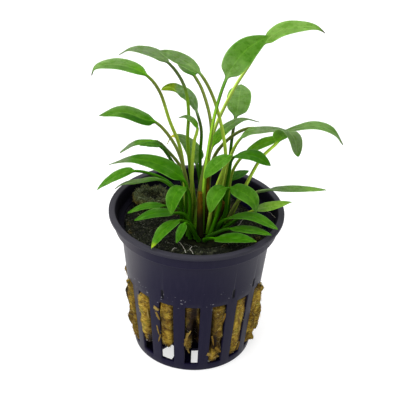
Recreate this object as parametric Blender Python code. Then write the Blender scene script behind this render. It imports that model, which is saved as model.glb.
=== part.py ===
"""Potted cryptocoryne: a narrow-leaved aquarium plant in a slotted net pot.

The origin is the centre of the pot's underside, with Z up. The photograph was taken from
the -Y side, a little above. Sizes below are in millimetres and are turned into metres
when a mesh is made. Bearings are in degrees from -Y, the front, toward +X.
"""
import math
from typing import NamedTuple

import bpy
from mathutils import Matrix, Vector, noise

MM = 0.001

# Net pot
POT_HEIGHT = 50.0
LIP_RADIUS = 27.5
LIP_INNER_RADIUS = 25.7
LIP_THICKNESS = 1.1
COLLAR_RADIUS = 25.75
COLLAR_BOTTOM = 44.7
BODY_BASE_RADIUS = 19.3
BODY_TAPER = 0.1
WALL = 0.9
FLOOR = 1.2
FOOT_CHAMFER = 0.4
SLOT_COUNT = 16
SLOT_WIDTH = 12.5
SLOT_BOTTOM = 3.0
SLOT_TOP = 27.5
FLOOR_OPENING_COUNT = 8
FLOOR_OPENING_WIDTH = 22.5
FLOOR_OPENING_RADII = (9.5, 16.5)

# Growing wool. An arc is the bearing of its middle and how far it reaches to each side
GAP = 0.4
WOOL_TOP = 44.0
WOOL_TOP_RADIUS = 20.6
FRONT_RISE = 3.4
FRONT_RISE_ARC = (0.0, 75.0)
RIGHT_DROP = 3.0
RIGHT_DROP_ARC = (100.0, 60.0)
RISE_BLEND = 40.0
DROP_BLEND = 30.0
WOOL_BOTTOM = 1.9
WOOL_MIDDLE_BOTTOM = 4.7
WOOL_HOLLOW = 8.0
WOOL_HOLLOW_ARC = (-12.0, 62.0)
WOOL_HOLLOW_BLEND = 40.0
WOOL_HOLLOW_RADIUS = 11.0
WOOL_HOLLOW_LIFT = 0.8
WOOL_EDGE_HEIGHTS = (3.9, 7.0)
WOOL_EDGE_STEP = 0.6
WOOL_HEIGHTS = (12.5, 18.0, 24.0, 26.9, 35.0)
BULGE = 1.2
BULGE_ROWS = (2, 3, 4, 5)
BULGE_ARCS = ((90.0, 35.0), (-88.0, 40.0))
SLOT_EDGE_MARGIN = 0.4
ROUGHNESS = 0.35
ROUGHNESS_SCALE = 0.35
ROUGHNESS_SEED = 1795826827
BULGE_SCALE = 0.31

# Crown
CROWN_CENTRE = (3.2, -4.3)
CROWN_RADII = (8.7, 7.6)
CROWN_BOTTOM = 42.4
CROWN_TOP = 44.2
CROWN_SIDES = 20
CROWN_PROFILE = ((0.9, 0.0), (1.0, 0.6), (0.95, 0.85), (0.8, 1.0))
CROWN_BED = ((1.12, 43.4), (1.05, 42.0))

# Leaves
FOOT_GAP = 0.4
FOOT_RADIUS = 0.6
NECK_RADIUS = 0.45
HEXAGON = math.sin(math.radians(60))
RIB_TOP = 0.12
RIB_UNDER = 0.43
TIP_RIB = 0.18
STALK_RIB_SHARE = 0.5
BLADE_RIB_SHARE = 0.2
BLADE_OPENED = 0.3
FOLD = 0.12
BLADE_CURVE = 1.45
STALK_SHARES = (0.0, 0.22, 0.45, 0.66, 0.85)
BLADE_SHARES = (0.0, 0.1, 0.22, 0.38, 0.55, 0.72, 0.87)


class Leaf(NamedTuple):
    """Colour, foot (x, y), points up the stalk and along the blade, and the blade's width.

    roll turns the blade about its length, in degrees at its collar and at its tip, and
    fullest is the share of the blade's length, from the collar, where it is widest.
    """
    colour: str
    foot: tuple
    stalk: tuple
    blade: tuple
    width: float
    roll: tuple = (0, 0)
    fullest: float = 0.41


LEAVES = {
    "high_left": Leaf(
        "green", (0.2, -3.1), ((-1.4, -0.6, 57), (-3.5, 1.5, 73), (-3.5, 2.5, 82.5), (-5, 4.5, 89.5)),
        ((-9.5, 7.5, 95), (-15.5, 10, 97.5), (-21.5, 11.5, 97.5), (-25, 12, 95.5)),
        6.6, (0, 0), 0.36),
    "high_centre": Leaf(
        "green", (4.4, -4.6), ((7.5, -3.5, 63), (8, -3.5, 72), (4, -2.5, 88.5)),
        ((0, -1, 95.6), (-2.8, 0.2, 97.6), (-6.1, 2.2, 98.8), (-9.5, 4, 99.6), (-12.6, 5, 100.2)),
        7, (0, 0), 0.52),
    "high_back": Leaf(
        "green", (-0.7, -7.6), ((1, -3.2, 61), (3.5, -1.2, 78), (0.5, 2.5, 89)),
        ((-2, 5, 92.5), (-4, 9, 93), (-7.5, 13, 93.5)), 5),
    "upper_left": Leaf(
        "green", (-2.4, -4.6), ((-5.5, -2, 71.7), (-9, -1.3, 81), (-12, -1, 90)),
        ((-15.2, -0.5, 94.2), (-20.5, 0.5, 96.6), (-26, 0, 97.5), (-30.6, -1, 96.6), (-31.7, -1.5, 94.5)),
        6.8, (-10, -4)),
    "middle_left": Leaf(
        "green", (-1.4, -5.9), ((-3.8, -4.5, 64.4), (-7, -4.5, 74.3)),
        ((-12.5, -4.5, 81.5), (-16, -5, 82.8), (-22.5, -5.5, 85.1), (-29.2, -6.5, 84.2)), 6.8, (-16, -6)),
    "curled": Leaf(
        "dark", (1, -1.6), ((0.5, 3, 67.5), (0.5, 5, 75)),
        ((-0.9, 6, 79.9), (-2.4, 6.5, 83.7), (-4.7, 7, 85.8), (-7.6, 7, 86.7), (-11.9, 6.5, 87.1)),
        5.6, (-42, 8), 0.6),
    "tiny": Leaf(
        "yellow", (-1.6, -3.3), ((-1.8, -2.1, 67), (-1.3, -1.7, 75.5)),
        ((-0.6, -1.3, 78.4), (-2.1, -0.5, 80.7), (-4, 0, 81.6), (-6.4, 0, 81.3)), 2.6, (-20, 0)),
    "broad_top": Leaf(
        "green", (1.9, -6.1), ((2, -5.5, 61.5), (3, -5, 75), (4.5, -5, 86.5)),
        ((7, -4.5, 96.2), (9.3, -3, 100.6), (12.6, -1, 104.2), (18.5, 2, 107.3)), 7.7, (42, 38)),
    "top_right": Leaf(
        "green", (1.9, -0.1), ((3, 4, 68.5), (4.5, 5.8, 74.8), (9.5, 7, 87.5), (13.5, 7.5, 95)),
        ((17.5, 9, 101.5), (22.3, 9.5, 105.9), (27.6, 10, 107.2), (32.9, 10, 107.1), (35.6, 10, 105.6)),
        6.4, (20, 12), 0.37),
    "spade": Leaf(
        "dark", (7.8, 1.4), ((9.5, 6.5, 60.2), (10, 7.7, 70)),
        ((10.8, 10.5, 76.5), (11.5, 13, 79.5), (12, 17.5, 81.5), (12.7, 26, 81)), 7.6, (0, 0), 0.38),
    "slim_right": Leaf(
        "green", (2.7, -1.6), ((3, -0.3, 65.5),),
        ((3.8, 0.5, 71.3), (7.1, 3, 75.8), (12.9, 7, 78), (18.4, 10, 75.9)), 3.5, (30, -14), 0.34),
    "flat_right": Leaf(
        "green", (7, -0.1), ((8.6, 0, 62.5), (9.9, 0.4, 69.3)),
        ((12, 0.7, 74.2), (14.9, 1, 76.8), (18.9, 1.5, 77.4), (22.8, 2, 77.5), (27, 2.7, 76.9)), 4.7),
    "nodding_right": Leaf(
        "green", (9.5, -1.6), ((15, -0.5, 59.7), (19, -1, 69.4)),
        ((23.2, -3, 75.9), (24.4, -4, 79.1), (25.9, -5, 80.5), (27.7, -6.5, 79.2), (29.2, -8.5, 74.3)),
        7.8, (-38, 0), 0.5),
    "far_right": Leaf(
        "dark", (3.6, -0.1), ((4, 2, 64.5), (6.5, 3.5, 70), (14, 7.5, 74.5)),
        ((25, 9, 73.5), (35.5, 9.5, 75.5), (41, 9, 74), (44.5, 8, 70)), 6, (0, 0), 0.58),
    "arched_right": Leaf(
        "yellow", (7.8, -1.6), ((8.8, -2, 58), (9.5, -2, 64.5)),
        ((10.4, -1.5, 69.3), (16.2, -4, 71.6), (21.5, -6.5, 69.8)), 7, (0, 0), 0.48),
    "turned_back": Leaf(
        "green", (3.6, -6.1), ((5.5, -5.5, 60), (8.5, -5.2, 69.5)),
        ((9.8, -5.2, 72), (5.5, -8, 70.5), (2, -11.5, 67.5)), 5.6, (0, 0), 0.45),
    "wedge_right": Leaf(
        "green", (8.7, -0.1), ((9.7, 0.9, 56.4), (10.5, 1.8, 62.4)),
        ((13.5, 3, 67.5), (19, 4.1, 71.2), (24.6, 4.8, 73.3)), 5.8, (0, 0), 0.6),
    "edge_on": Leaf(
        "green", (8.7, -3.1), ((13, -3, 55.2), (17.5, -1.5, 57.2)),
        ((21.5, 0, 57.5), (29.5, 2, 57), (40, 2, 57.2)), 4.4, (2, -6), 0.5),
    "rim_right": Leaf(
        "green", (7.8, -4.6), ((12.5, -5.5, 49.8),),
        ((17.5, -5, 53), (23, -4.5, 54.5), (29, -4, 56)), 5),
    "bowed_right": Leaf(
        "green", (6.1, -4.6), ((9, -5.5, 52.5), (9, -6, 58)),
        ((9.5, -6.5, 61.5), (13.5, -8.3, 61.3), (17, -10.5, 59.5), (18, -11, 56)), 7, (8, 4)),
    "bowed_front": Leaf(
        "green", (4.4, -7.6), ((7, -8, 56), (7.5, -8, 61)),
        ((9, -9, 62.9), (6.9, -10, 63.1), (4.9, -12.5, 61.2), (4, -14, 57.1)), 5.6),
    "bowed_left": Leaf(
        "green", (-2.4, -7.6), ((-2, -8, 53), (-2.3, -8.7, 60.1)),
        ((-3.3, -9.2, 62.6), (-5.4, -11, 63), (-7, -13, 61.1), (-7.5, -15, 56.6)), 5.4),
    "low_left": Leaf(
        "green", (-1.6, -9.1), ((-2.3, -9.8, 51.8), (-3.7, -10, 54)),
        ((-6, -10.5, 54.5), (-12.5, -12, 55), (-18.5, -14, 53.5)), 5),
    "over_rim": Leaf(
        "green", (0.1, -9.1), ((-1.2, -11.4, 50.8),),
        ((-4.4, -12, 52.9), (-8.8, -17, 53.2), (-11.4, -22.4, 52.3), (-12.7, -24.8, 51)), 4.1),
    "small_front": Leaf(
        "dark", (1, -10.6), ((-1.2, -13.6, 50.7),),
        ((-3.1, -15.3, 54.1), (-4.2, -17.6, 53.1), (-5.6, -20, 49.9)), 2.8),
    "low_dark": Leaf(
        "dark", (-4.1, -7.6), ((-5.3, -7.5, 53.9),),
        ((-9.5, -6.7, 54.5), (-16, -7.5, 54.5), (-21, -8.5, 52.5)), 3.8),
    "rim_left": Leaf(
        "green", (-3.2, -3.1), ((-7, -1, 56.5),),
        ((-11, 1, 59), (-19.5, 4.5, 56), (-23.5, 6.5, 54), (-26.5, 7.5, 51.3)), 3.8),
    "far_left": Leaf(
        "dark", (-1.5, -0.1), ((-6, 2.5, 53.5), (-9, 4, 56.5), (-14, 6, 58)),
        ((-19.5, 7.5, 58.2), (-25, 9, 55.7), (-30, 9.5, 52), (-32.3, 9.5, 49.5)), 5.6, (-14, -10), 0.46),
    "long_left": Leaf(
        "green", (-3.4, -6.2), ((-3.3, -6.9, 57.3),),
        ((-3.7, -8, 63.9), (-9, -6.9, 67.8), (-18.5, -5, 69.5), (-27, -3.2, 66.3)), 6.4, (-22, 0), 0.32),
    "twisted_left": Leaf(
        "dark", (-0.7, -1.6), ((-5, 3, 62), (-10, 4.5, 68)),
        ((-12.9, 5, 70.4), (-16.5, 5.5, 69.8), (-20.1, 6, 68.6), (-24.6, 6.5, 65)),
        4.2, (0, 0), 0.6),
    "under_left": Leaf(
        "yellow", (-2.4, -1.6), ((-5, -1, 61), (-9, 0, 68)),
        ((-11.5, 0.5, 71), (-15, 0.8, 71.5), (-18, 1, 71)), 3.8),
    "yellow_tip": Leaf(
        "yellow", (0.2, -0.1), ((0.8, 2.7, 57),),
        ((-0.5, 3.6, 63.7), (-1.5, 4.8, 67.5), (-5.5, 8, 70.3), (-8.5, 8, 70.7), (-10, 7, 68.5)),
        5.2, (-80, 5), 0.17),
    "low_right": Leaf(
        "green", (5.3, -6.1), ((7, -7, 48.8),),
        ((9, -8, 51.3), (12.5, -9.7, 53.7), (17.5, -12, 55), (24.5, -15, 53)), 4.9, (0, 0), 0.52),
    "low_right_2": Leaf(
        "green", (3.5, -9.1), ((6.5, -9.7, 47.5),),
        ((10, -10.5, 49.5), (16.5, -13.5, 51.3), (22.5, -17.5, 52.5)), 4.5),
    "low_front": Leaf(
        "green", (2.7, -10.6), ((4, -12, 46.7),),
        ((5.5, -13.8, 48), (12, -17.8, 51), (18, -20.5, 52)), 6.2),
    "back_small": Leaf(
        "green", (9.8, 1.4), ((10, 3, 53),),
        ((10.3, 2.8, 58.6), (13, 6, 59.5), (16, 9, 59.1)), 4),
}

# Dead sheaths: brown leaf bases without blades
SHEATH_RADIUS = 0.7
SHEATHS = {
    "front": ((1.3, -7.8, 45), (1.1, -7.6, 52), (0.9, -7.1, 60)),
    "middle": ((2.7, -4.6, 45), (2.9, -4.3, 55), (2.6, -4.0, 66)),
    "right": ((7.0, -3.1, 45), (7.3, -3.4, 50), (8.0, -4.0, 55)),
}

# Fine white roots, lying on the wool and over the lip
ROOT_RADIUS = 0.3
ROOTS = {
    "left": ((-5.0, -12.8, 45.6), (-4.2, -17.7, 48.1), (-3.4, -22, 50), (-2.5, -26, 50.8)),
    "front": ((-0.9, -20, 49), (-1.4, -23.1, 50.2), (-0.4, -26.2, 50.8)),
    "short": ((-5.4, -21.5, 49.2), (-6.0, -23, 50.3), (-6.8, -25.4, 50.8)),
    "curled": ((12.8, -3.2, 45.4), (16, -2.6, 50), (19.1, -3, 52), (22.3, -3.9, 52),
               (24.2, -5.8, 51.2)),
}

# Loose tuft of wool that stands up inside the rim, at the left
TUFT_CENTRE = (-14.6, 10.3)
TUFT_RADII = (6.4, 4.9)
TUFT_BOTTOM = 44.9
TUFT_TOP = 49.7
TUFT_SIDES = 16
TUFT_PROFILE = ((0.55, 0.0), (1.0, 0.43), (0.95, 0.72), (0.6, 0.88))
TUFT_ROUGHNESS = 0.5

# Colour, roughness and metallic value of each material
FINISHES = {
    "pot_plastic": ((0.022, 0.020, 0.030), 0.38, 0.0),
    "wool": ((0.36, 0.27, 0.13), 0.95, 0.0),
    "wool_tuft": ((0.42, 0.38, 0.24), 0.95, 0.0),
    "crown": ((0.24, 0.17, 0.07), 0.75, 0.0),
    "dead_sheath": ((0.16, 0.07, 0.03), 0.7, 0.0),
    "root": ((0.78, 0.74, 0.60), 0.6, 0.0),
    "leaf_green": ((0.13, 0.26, 0.05), 0.42, 0.0),
    "leaf_yellow": ((0.30, 0.38, 0.07), 0.45, 0.0),
    "leaf_dark": ((0.08, 0.15, 0.05), 0.42, 0.0),
}

SMOOTH_ANGLE = math.radians(50)


def clear_scene():
    for item in list(bpy.data.objects):
        bpy.data.objects.remove(item, do_unlink=True)


def material(name):
    """Make the named finish once and return it."""
    found = bpy.data.materials.get(name)
    if found:
        return found
    colour, roughness, metallic = FINISHES[name]
    made = bpy.data.materials.new(name)
    made.use_nodes = True
    shader = made.node_tree.nodes["Principled BSDF"]
    shader.inputs["Base Color"].default_value = (*colour, 1.0)
    shader.inputs["Roughness"].default_value = roughness
    shader.inputs["Metallic"].default_value = metallic
    return made


def add_piece(name, points, faces, finish):
    """Make an object from points in millimetres and faces that point outward."""
    mesh = bpy.data.meshes.new(name)
    mesh.from_pydata([Vector(point) * MM for point in points], [], faces)
    mesh.validate()
    mesh.materials.append(material(finish))
    mesh.shade_smooth()
    mesh.set_sharp_from_angle(angle=SMOOTH_ANGLE)
    piece = bpy.data.objects.new(name, mesh)
    bpy.context.scene.collection.objects.link(piece)
    return piece


def on_circle(radius, bearing, height):
    angle = math.radians(bearing)
    return Vector((radius * math.sin(angle), -radius * math.cos(angle), height))


def ease(value):
    """Smooth step from 0 to 1."""
    held = min(max(value, 0.0), 1.0)
    return held * held * (3 - 2 * held)


def inside_arc(bearing, arc):
    """Return how many degrees a bearing lies inside an arc, less than 0 outside it."""
    middle, reach = arc
    return reach - abs((bearing - middle + 180) % 360 - 180)


def smooth_route(points, steps=12):
    """Return close places on a centripetal curve through the points, and each point's index."""
    ends = [2 * points[0] - points[1], *points, 2 * points[-1] - points[-2]]
    places = []
    marks = []
    for before, start, end, after in zip(ends, ends[1:], ends[2:], ends[3:]):
        knot_1 = (start - before).length ** 0.5
        knot_2 = knot_1 + (end - start).length ** 0.5
        knot_3 = knot_2 + (after - end).length ** 0.5
        marks.append(len(places))
        for step in range(steps):
            at = knot_1 + (knot_2 - knot_1) * step / steps
            first = before.lerp(start, at / knot_1)
            second = start.lerp(end, (at - knot_1) / (knot_2 - knot_1))
            third = end.lerp(after, (at - knot_2) / (knot_3 - knot_2))
            left = first.lerp(second, at / knot_2)
            right = second.lerp(third, (at - knot_1) / (knot_3 - knot_1))
            places.append(left.lerp(right, (at - knot_1) / (knot_2 - knot_1)))
    marks.append(len(places))
    places.append(points[-1].copy())
    return places, marks


def distances(places):
    """Return the length along the route at each place."""
    run = [0.0]
    for start, end in zip(places, places[1:]):
        run.append(run[-1] + (end - start).length)
    return run


def place_at(places, run, distance):
    """Return the place and the direction of the route at a distance along it."""
    index = 0
    while index < len(run) - 2 and run[index + 1] < distance:
        index += 1
    share = (distance - run[index]) / (run[index + 1] - run[index])
    heading = places[min(index + 2, len(places) - 1)] - places[max(index - 1, 0)]
    return places[index].lerp(places[index + 1], share), heading.normalized()


def wall_faces(rows, size):
    """Return the faces between each ring of the given size and the next one."""
    faces = []
    for low in range(0, (rows - 1) * size, size):
        for spot in range(size):
            after = (spot + 1) % size
            faces.append((low + spot, low + after, low + size + after, low + size + spot))
    return faces


def skin_tube(rings, tip):
    """Return points and faces of a tube through equal rings, flat at its start, with a tip."""
    size = len(rings[0])
    points = [point for ring in rings for point in ring] + [tip]
    faces = [tuple(reversed(range(size)))] + wall_faces(len(rings), size)
    last = (len(rings) - 1) * size
    faces.extend((last + spot, last + (spot + 1) % size, len(points) - 1) for spot in range(size))
    return points, faces


def skin_mound(rings, bottom, top):
    """Return points and faces of a closed form: equal rings between a bottom and a top point."""
    size = len(rings[0])
    points = [point for ring in rings for point in ring] + [bottom, top]
    faces = wall_faces(len(rings), size)
    last = (len(rings) - 1) * size
    for spot in range(size):
        after = (spot + 1) % size
        faces.append((after, spot, len(points) - 2))
        faces.append((last + spot, last + after, len(points) - 1))
    return points, faces


def skin_shell(outer, inner, bearings, is_open):
    """Return points and faces of a thick turned shell whose paired profiles start on the axis
    and meet at their last point. Cells that is_open(row, column) names are left out."""
    columns = len(bearings)
    points = [Vector((0, 0, outer[0][1])), Vector((0, 0, inner[0][1]))]
    grids = []
    for profile, rows in ((outer, outer[1:]), (inner, inner[1:-1])):
        grid = [[0 if profile is outer else 1] * columns]
        for radius, height in rows:
            start = len(points)
            points.extend(on_circle(radius, bearing, height) for bearing in bearings)
            grid.append(list(range(start, start + columns)))
        grids.append(grid)
    outside, inside = grids
    inside.append(outside[-1])
    faces = []

    def add_face(*corners):
        kept = [corner for at, corner in enumerate(corners) if corner != corners[at - 1]]
        if len(kept) > 2:
            faces.append(tuple(kept))

    for row in range(len(outer) - 1):
        for column in range(columns):
            after = (column + 1) % columns
            if is_open(row, column):
                continue
            add_face(outside[row][column], outside[row][after],
                     outside[row + 1][after], outside[row + 1][column])
            add_face(inside[row][after], inside[row][column],
                     inside[row + 1][column], inside[row + 1][after])
            if is_open(row, after):
                add_face(outside[row][after], inside[row][after],
                         inside[row + 1][after], outside[row + 1][after])
            if is_open(row, column - 1):
                add_face(inside[row][column], outside[row][column],
                         outside[row + 1][column], inside[row + 1][column])
            if is_open(row + 1, column):
                add_face(outside[row + 1][column], outside[row + 1][after],
                         inside[row + 1][after], inside[row + 1][column])
            if row and is_open(row - 1, column):
                add_face(outside[row][after], outside[row][column],
                         inside[row][column], inside[row][after])
    return points, faces


def body_radius(height):
    """Outer radius of the pot's wall below the collar."""
    return BODY_BASE_RADIUS + BODY_TAPER * height


def build_pot():
    """Net pot: floor with openings, slotted wall, shallow collar and flat lip."""
    inner_opening, outer_opening = FLOOR_OPENING_RADII
    outer = [(0, 0), (inner_opening, 0), (outer_opening, 0),
             (BODY_BASE_RADIUS - FOOT_CHAMFER, 0),
             (body_radius(FOOT_CHAMFER), FOOT_CHAMFER),
             (body_radius(SLOT_BOTTOM), SLOT_BOTTOM),
             (body_radius(SLOT_TOP), SLOT_TOP),
             (body_radius(COLLAR_BOTTOM), COLLAR_BOTTOM),
             (COLLAR_RADIUS, COLLAR_BOTTOM),
             (COLLAR_RADIUS, POT_HEIGHT - LIP_THICKNESS),
             (LIP_RADIUS, POT_HEIGHT - LIP_THICKNESS),
             (LIP_RADIUS, POT_HEIGHT)]
    inner = [(0, FLOOR), (inner_opening, FLOOR), (outer_opening, FLOOR),
             (BODY_BASE_RADIUS - WALL - FOOT_CHAMFER, FLOOR),
             (body_radius(FLOOR) - WALL, FLOOR + FOOT_CHAMFER),
             (body_radius(SLOT_BOTTOM) - WALL, SLOT_BOTTOM),
             (body_radius(SLOT_TOP) - WALL, SLOT_TOP),
             (body_radius(COLLAR_BOTTOM) - WALL, COLLAR_BOTTOM + WALL),
             (COLLAR_RADIUS - WALL, COLLAR_BOTTOM + WALL),
             (COLLAR_RADIUS - WALL, POT_HEIGHT - WALL),
             (LIP_INNER_RADIUS, POT_HEIGHT),
             (LIP_RADIUS, POT_HEIGHT)]
    pitch = 360 / SLOT_COUNT
    bearings = []
    for slot in range(SLOT_COUNT):
        for offset in (-SLOT_WIDTH / 2, 0, SLOT_WIDTH / 2):
            bearings.append(slot * pitch + offset)
    floor_row = outer.index((outer_opening, 0)) - 1
    slot_row = outer.index((body_radius(SLOT_TOP), SLOT_TOP)) - 1

    def is_open(row, column):
        spot = column % len(bearings)
        if row == slot_row:
            return spot % 3 < 2
        if row == floor_row:
            middle = (bearings[spot] + bearings[(spot + 1) % len(bearings)]) / 2
            return middle % (360 / FLOOR_OPENING_COUNT) < FLOOR_OPENING_WIDTH
        return False

    points, faces = skin_shell(outer, inner, bearings, is_open)
    return add_piece("pot", points, faces, "pot_plastic")


def wool_top(bearing):
    """Height of the wool beside the wall: high at the front, sunk at the right."""
    rise = ease(inside_arc(bearing, FRONT_RISE_ARC) / RISE_BLEND) * FRONT_RISE
    drop = ease(inside_arc(bearing, RIGHT_DROP_ARC) / DROP_BLEND) * RIGHT_DROP
    return WOOL_TOP + rise - drop


def wool_bottom(bearing):
    """Height of the wool's lower edge: near the floor, but hollow toward the front."""
    return WOOL_BOTTOM + ease(inside_arc(bearing, WOOL_HOLLOW_ARC) / WOOL_HOLLOW_BLEND) * WOOL_HOLLOW


def roughened(point, amount):
    return point + noise.noise_vector(point * ROUGHNESS_SCALE) * amount


def oval_ring(centre, radii, share, height, bearings):
    """Return the points of a level oval at a share of its radii."""
    ring = []
    for bearing in bearings:
        offset = on_circle(share, bearing, 0)
        ring.append(Vector((centre[0] + offset.x * radii[0], centre[1] + offset.y * radii[1], height)))
    return ring


def even_bearings(count):
    return [360 * step / count for step in range(count)]


def wool_side_heights(bearing):
    """Heights of the wool's side rings at a bearing, from its lower edge to the collar."""
    low = wool_bottom(bearing)
    edge = [max(low + WOOL_EDGE_STEP * (step + 1), height)
            for step, height in enumerate(WOOL_EDGE_HEIGHTS)]
    return [low, *edge, *WOOL_HEIGHTS, min(wool_top(bearing), COLLAR_BOTTOM - GAP)]


def build_wool():
    """Plug of growing wool: it swells out of the side slots and carries the crown on top."""
    slot_edge = SLOT_WIDTH / 2 - SLOT_EDGE_MARGIN
    bearings = [slot * 360 / SLOT_COUNT + offset for slot in range(SLOT_COUNT)
                for offset in (-slot_edge, 0, slot_edge)]
    columns = [wool_side_heights(bearing) for bearing in bearings]
    rings = [[on_circle(WOOL_HOLLOW_RADIUS, bearing, wool_bottom(bearing) + WOOL_HOLLOW_LIFT)
              for bearing in bearings]]
    for row in range(len(columns[0])):
        ring = []
        for column, bearing in enumerate(bearings):
            height = columns[column][row]
            radius = body_radius(height) - WALL - GAP
            in_slot = row in BULGE_ROWS and column % 3 == 1
            if in_slot and any(inside_arc(bearing, arc) > 0 for arc in BULGE_ARCS):
                swell = 1 + noise.noise(Vector((bearing, height, 0)) * BULGE_SCALE)
                radius += WALL + GAP + BULGE / 2 * swell
            ring.append(on_circle(radius, bearing, height))
        rings.append(ring)
    rings.append([roughened(on_circle(WOOL_TOP_RADIUS, bearing, wool_top(bearing)), ROUGHNESS)
                  for bearing in bearings])
    for share, height in CROWN_BED:
        rings.append(oval_ring(CROWN_CENTRE, CROWN_RADII, share, height, bearings))
    points, faces = skin_mound(rings, Vector((0, 0, WOOL_MIDDLE_BOTTOM)),
                               Vector((*CROWN_CENTRE, CROWN_BED[-1][1])))
    return add_piece("wool", points, faces, "wool")


def build_mound(name, centre, radii, heights, profile, sides, finish, lumps=0.0):
    """Closed low mound. Its profile gives shares of the radii and of the height."""
    bottom, top = heights
    rings = []
    for share, rise in profile:
        ring = oval_ring(centre, radii, share, bottom + (top - bottom) * rise, even_bearings(sides))
        rings.append([roughened(point, lumps) for point in ring])
    points, faces = skin_mound(rings, Vector((*centre, bottom)), Vector((*centre, top)))
    return add_piece(name, points, faces, finish)


def build_crown():
    """Short rootstock that every leaf and sheath grows from."""
    return build_mound("crown", CROWN_CENTRE, CROWN_RADII, (CROWN_BOTTOM, CROWN_TOP),
                       CROWN_PROFILE, CROWN_SIDES, "crown")


def build_tuft():
    """Loose piece of wool that stands up inside the rim."""
    return build_mound("wool_tuft", TUFT_CENTRE, TUFT_RADII, (TUFT_BOTTOM, TUFT_TOP),
                       TUFT_PROFILE, TUFT_SIDES, "wool_tuft", TUFT_ROUGHNESS)


def build_tube(name, route, radii, finish, sides=6):
    """Tapered tube along a route, round-pointed at its far end."""
    places, _ = smooth_route([Vector(point) for point in route])
    run = distances(places)
    count = 3 * len(route) - 2
    across = (places[1] - places[0]).orthogonal()
    rings = []
    for step in range(count):
        share = step / count
        place, heading = place_at(places, run, share * run[-1])
        across = (across - heading * heading.dot(across)).normalized()
        radius = radii[0] + (radii[1] - radii[0]) * share
        ring = []
        for side in range(sides):
            turn = Matrix.Rotation(2 * math.pi * side / sides, 3, heading)
            ring.append(place + turn @ across * radius)
        rings.append(ring)
    points, faces = skin_tube(rings, places[-1])
    return add_piece(name, points, faces, finish)


def blade_share(share, fullest):
    """Half width of a blade as a share of its widest, from collar to tip."""
    rise = BLADE_CURVE * fullest
    fall = BLADE_CURVE - rise
    return (share / fullest) ** rise * ((1 - share) / (1 - fullest)) ** fall


def leaf_section(place, heading, side, roll, half_width, rib_half, top, under, fold):
    """Six points round a stalk or a blade, from one edge over the top to the other."""
    across = (side - heading * heading.dot(side)).normalized()
    across = Matrix.Rotation(math.radians(roll), 3, heading) @ across
    up = heading.cross(across)
    edge = up * (fold * half_width)
    crest = up * (top + fold * rib_half)
    keel = up * (fold * rib_half - under)
    return [place + across * half_width + edge, place + across * rib_half + crest,
            place - across * rib_half + crest, place - across * half_width + edge,
            place - across * rib_half + keel, place + across * rib_half + keel]


def leaf_foot(leaf):
    """Return where a stalk starts: just above the crown, higher the more the stalk leans."""
    foot = Vector((*leaf.foot, CROWN_TOP + FOOT_GAP))
    lean = (Vector(leaf.stalk[0]) - foot).normalized().xy.length
    foot.z += FOOT_RADIUS * lean
    return foot


def build_leaf(name, leaf):
    """One leaf: a round stalk that flattens into a lance-shaped blade with a midrib."""
    route = [leaf_foot(leaf), *(Vector(point) for point in leaf.stalk + leaf.blade)]
    neck = len(leaf.stalk) + 1
    places, marks = smooth_route(route)
    run = distances(places)
    collar = run[marks[neck]]
    length = run[-1] - collar
    reach = route[-1] - route[neck]
    roll_start, roll_end = leaf.roll
    side = Vector((-reach.y, reach.x, 0)).normalized()
    rings = []
    for share in STALK_SHARES:
        place, heading = place_at(places, run, share * collar)
        radius = FOOT_RADIUS + (NECK_RADIUS - FOOT_RADIUS) * share
        rings.append(leaf_section(place, heading, side, roll_start * share, radius,
                                  radius * STALK_RIB_SHARE, radius * HEXAGON, radius * HEXAGON, 0))
    for share in BLADE_SHARES:
        place, heading = place_at(places, run, collar + share * length)
        half_width = max(NECK_RADIUS, leaf.width / 2 * blade_share(share, leaf.fullest))
        roll = roll_start + (roll_end - roll_start) * share
        opened = ease(share / BLADE_OPENED)
        rib_half = half_width * (STALK_RIB_SHARE + (BLADE_RIB_SHARE - STALK_RIB_SHARE) * opened)
        top = NECK_RADIUS * HEXAGON * (1 - opened) + RIB_TOP * opened
        under = RIB_UNDER + (TIP_RIB - RIB_UNDER) * share
        rings.append(leaf_section(place, heading, side, roll, half_width, rib_half,
                                  top, under, FOLD * opened))
    points, faces = skin_tube(rings, places[-1])
    return add_piece("leaf_" + name, points, faces, "leaf_" + leaf.colour)


def main():
    noise.seed_set(ROUGHNESS_SEED)
    clear_scene()
    build_pot()
    build_wool()
    build_tuft()
    build_crown()
    for name, route in SHEATHS.items():
        build_tube("dead_sheath_" + name, route, (SHEATH_RADIUS, SHEATH_RADIUS / 2), "dead_sheath")
    for name, leaf in LEAVES.items():
        build_leaf(name, leaf)
    for name, route in ROOTS.items():
        build_tube("root_" + name, route, (ROOT_RADIUS, ROOT_RADIUS / 2), "root")


main()
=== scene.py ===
"""Potted cryptocoryne: the finished plant and its net pot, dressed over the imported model.

Lengths here are in millimetres until a mesh or a tree is made, where MM turns them into
metres. The photographed view looks along +Y from a little above. Bearings are in degrees
from -Y, the front, toward +X.
"""
import math
from typing import NamedTuple

import bpy
from mathutils import Matrix, Vector, noise


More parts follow.
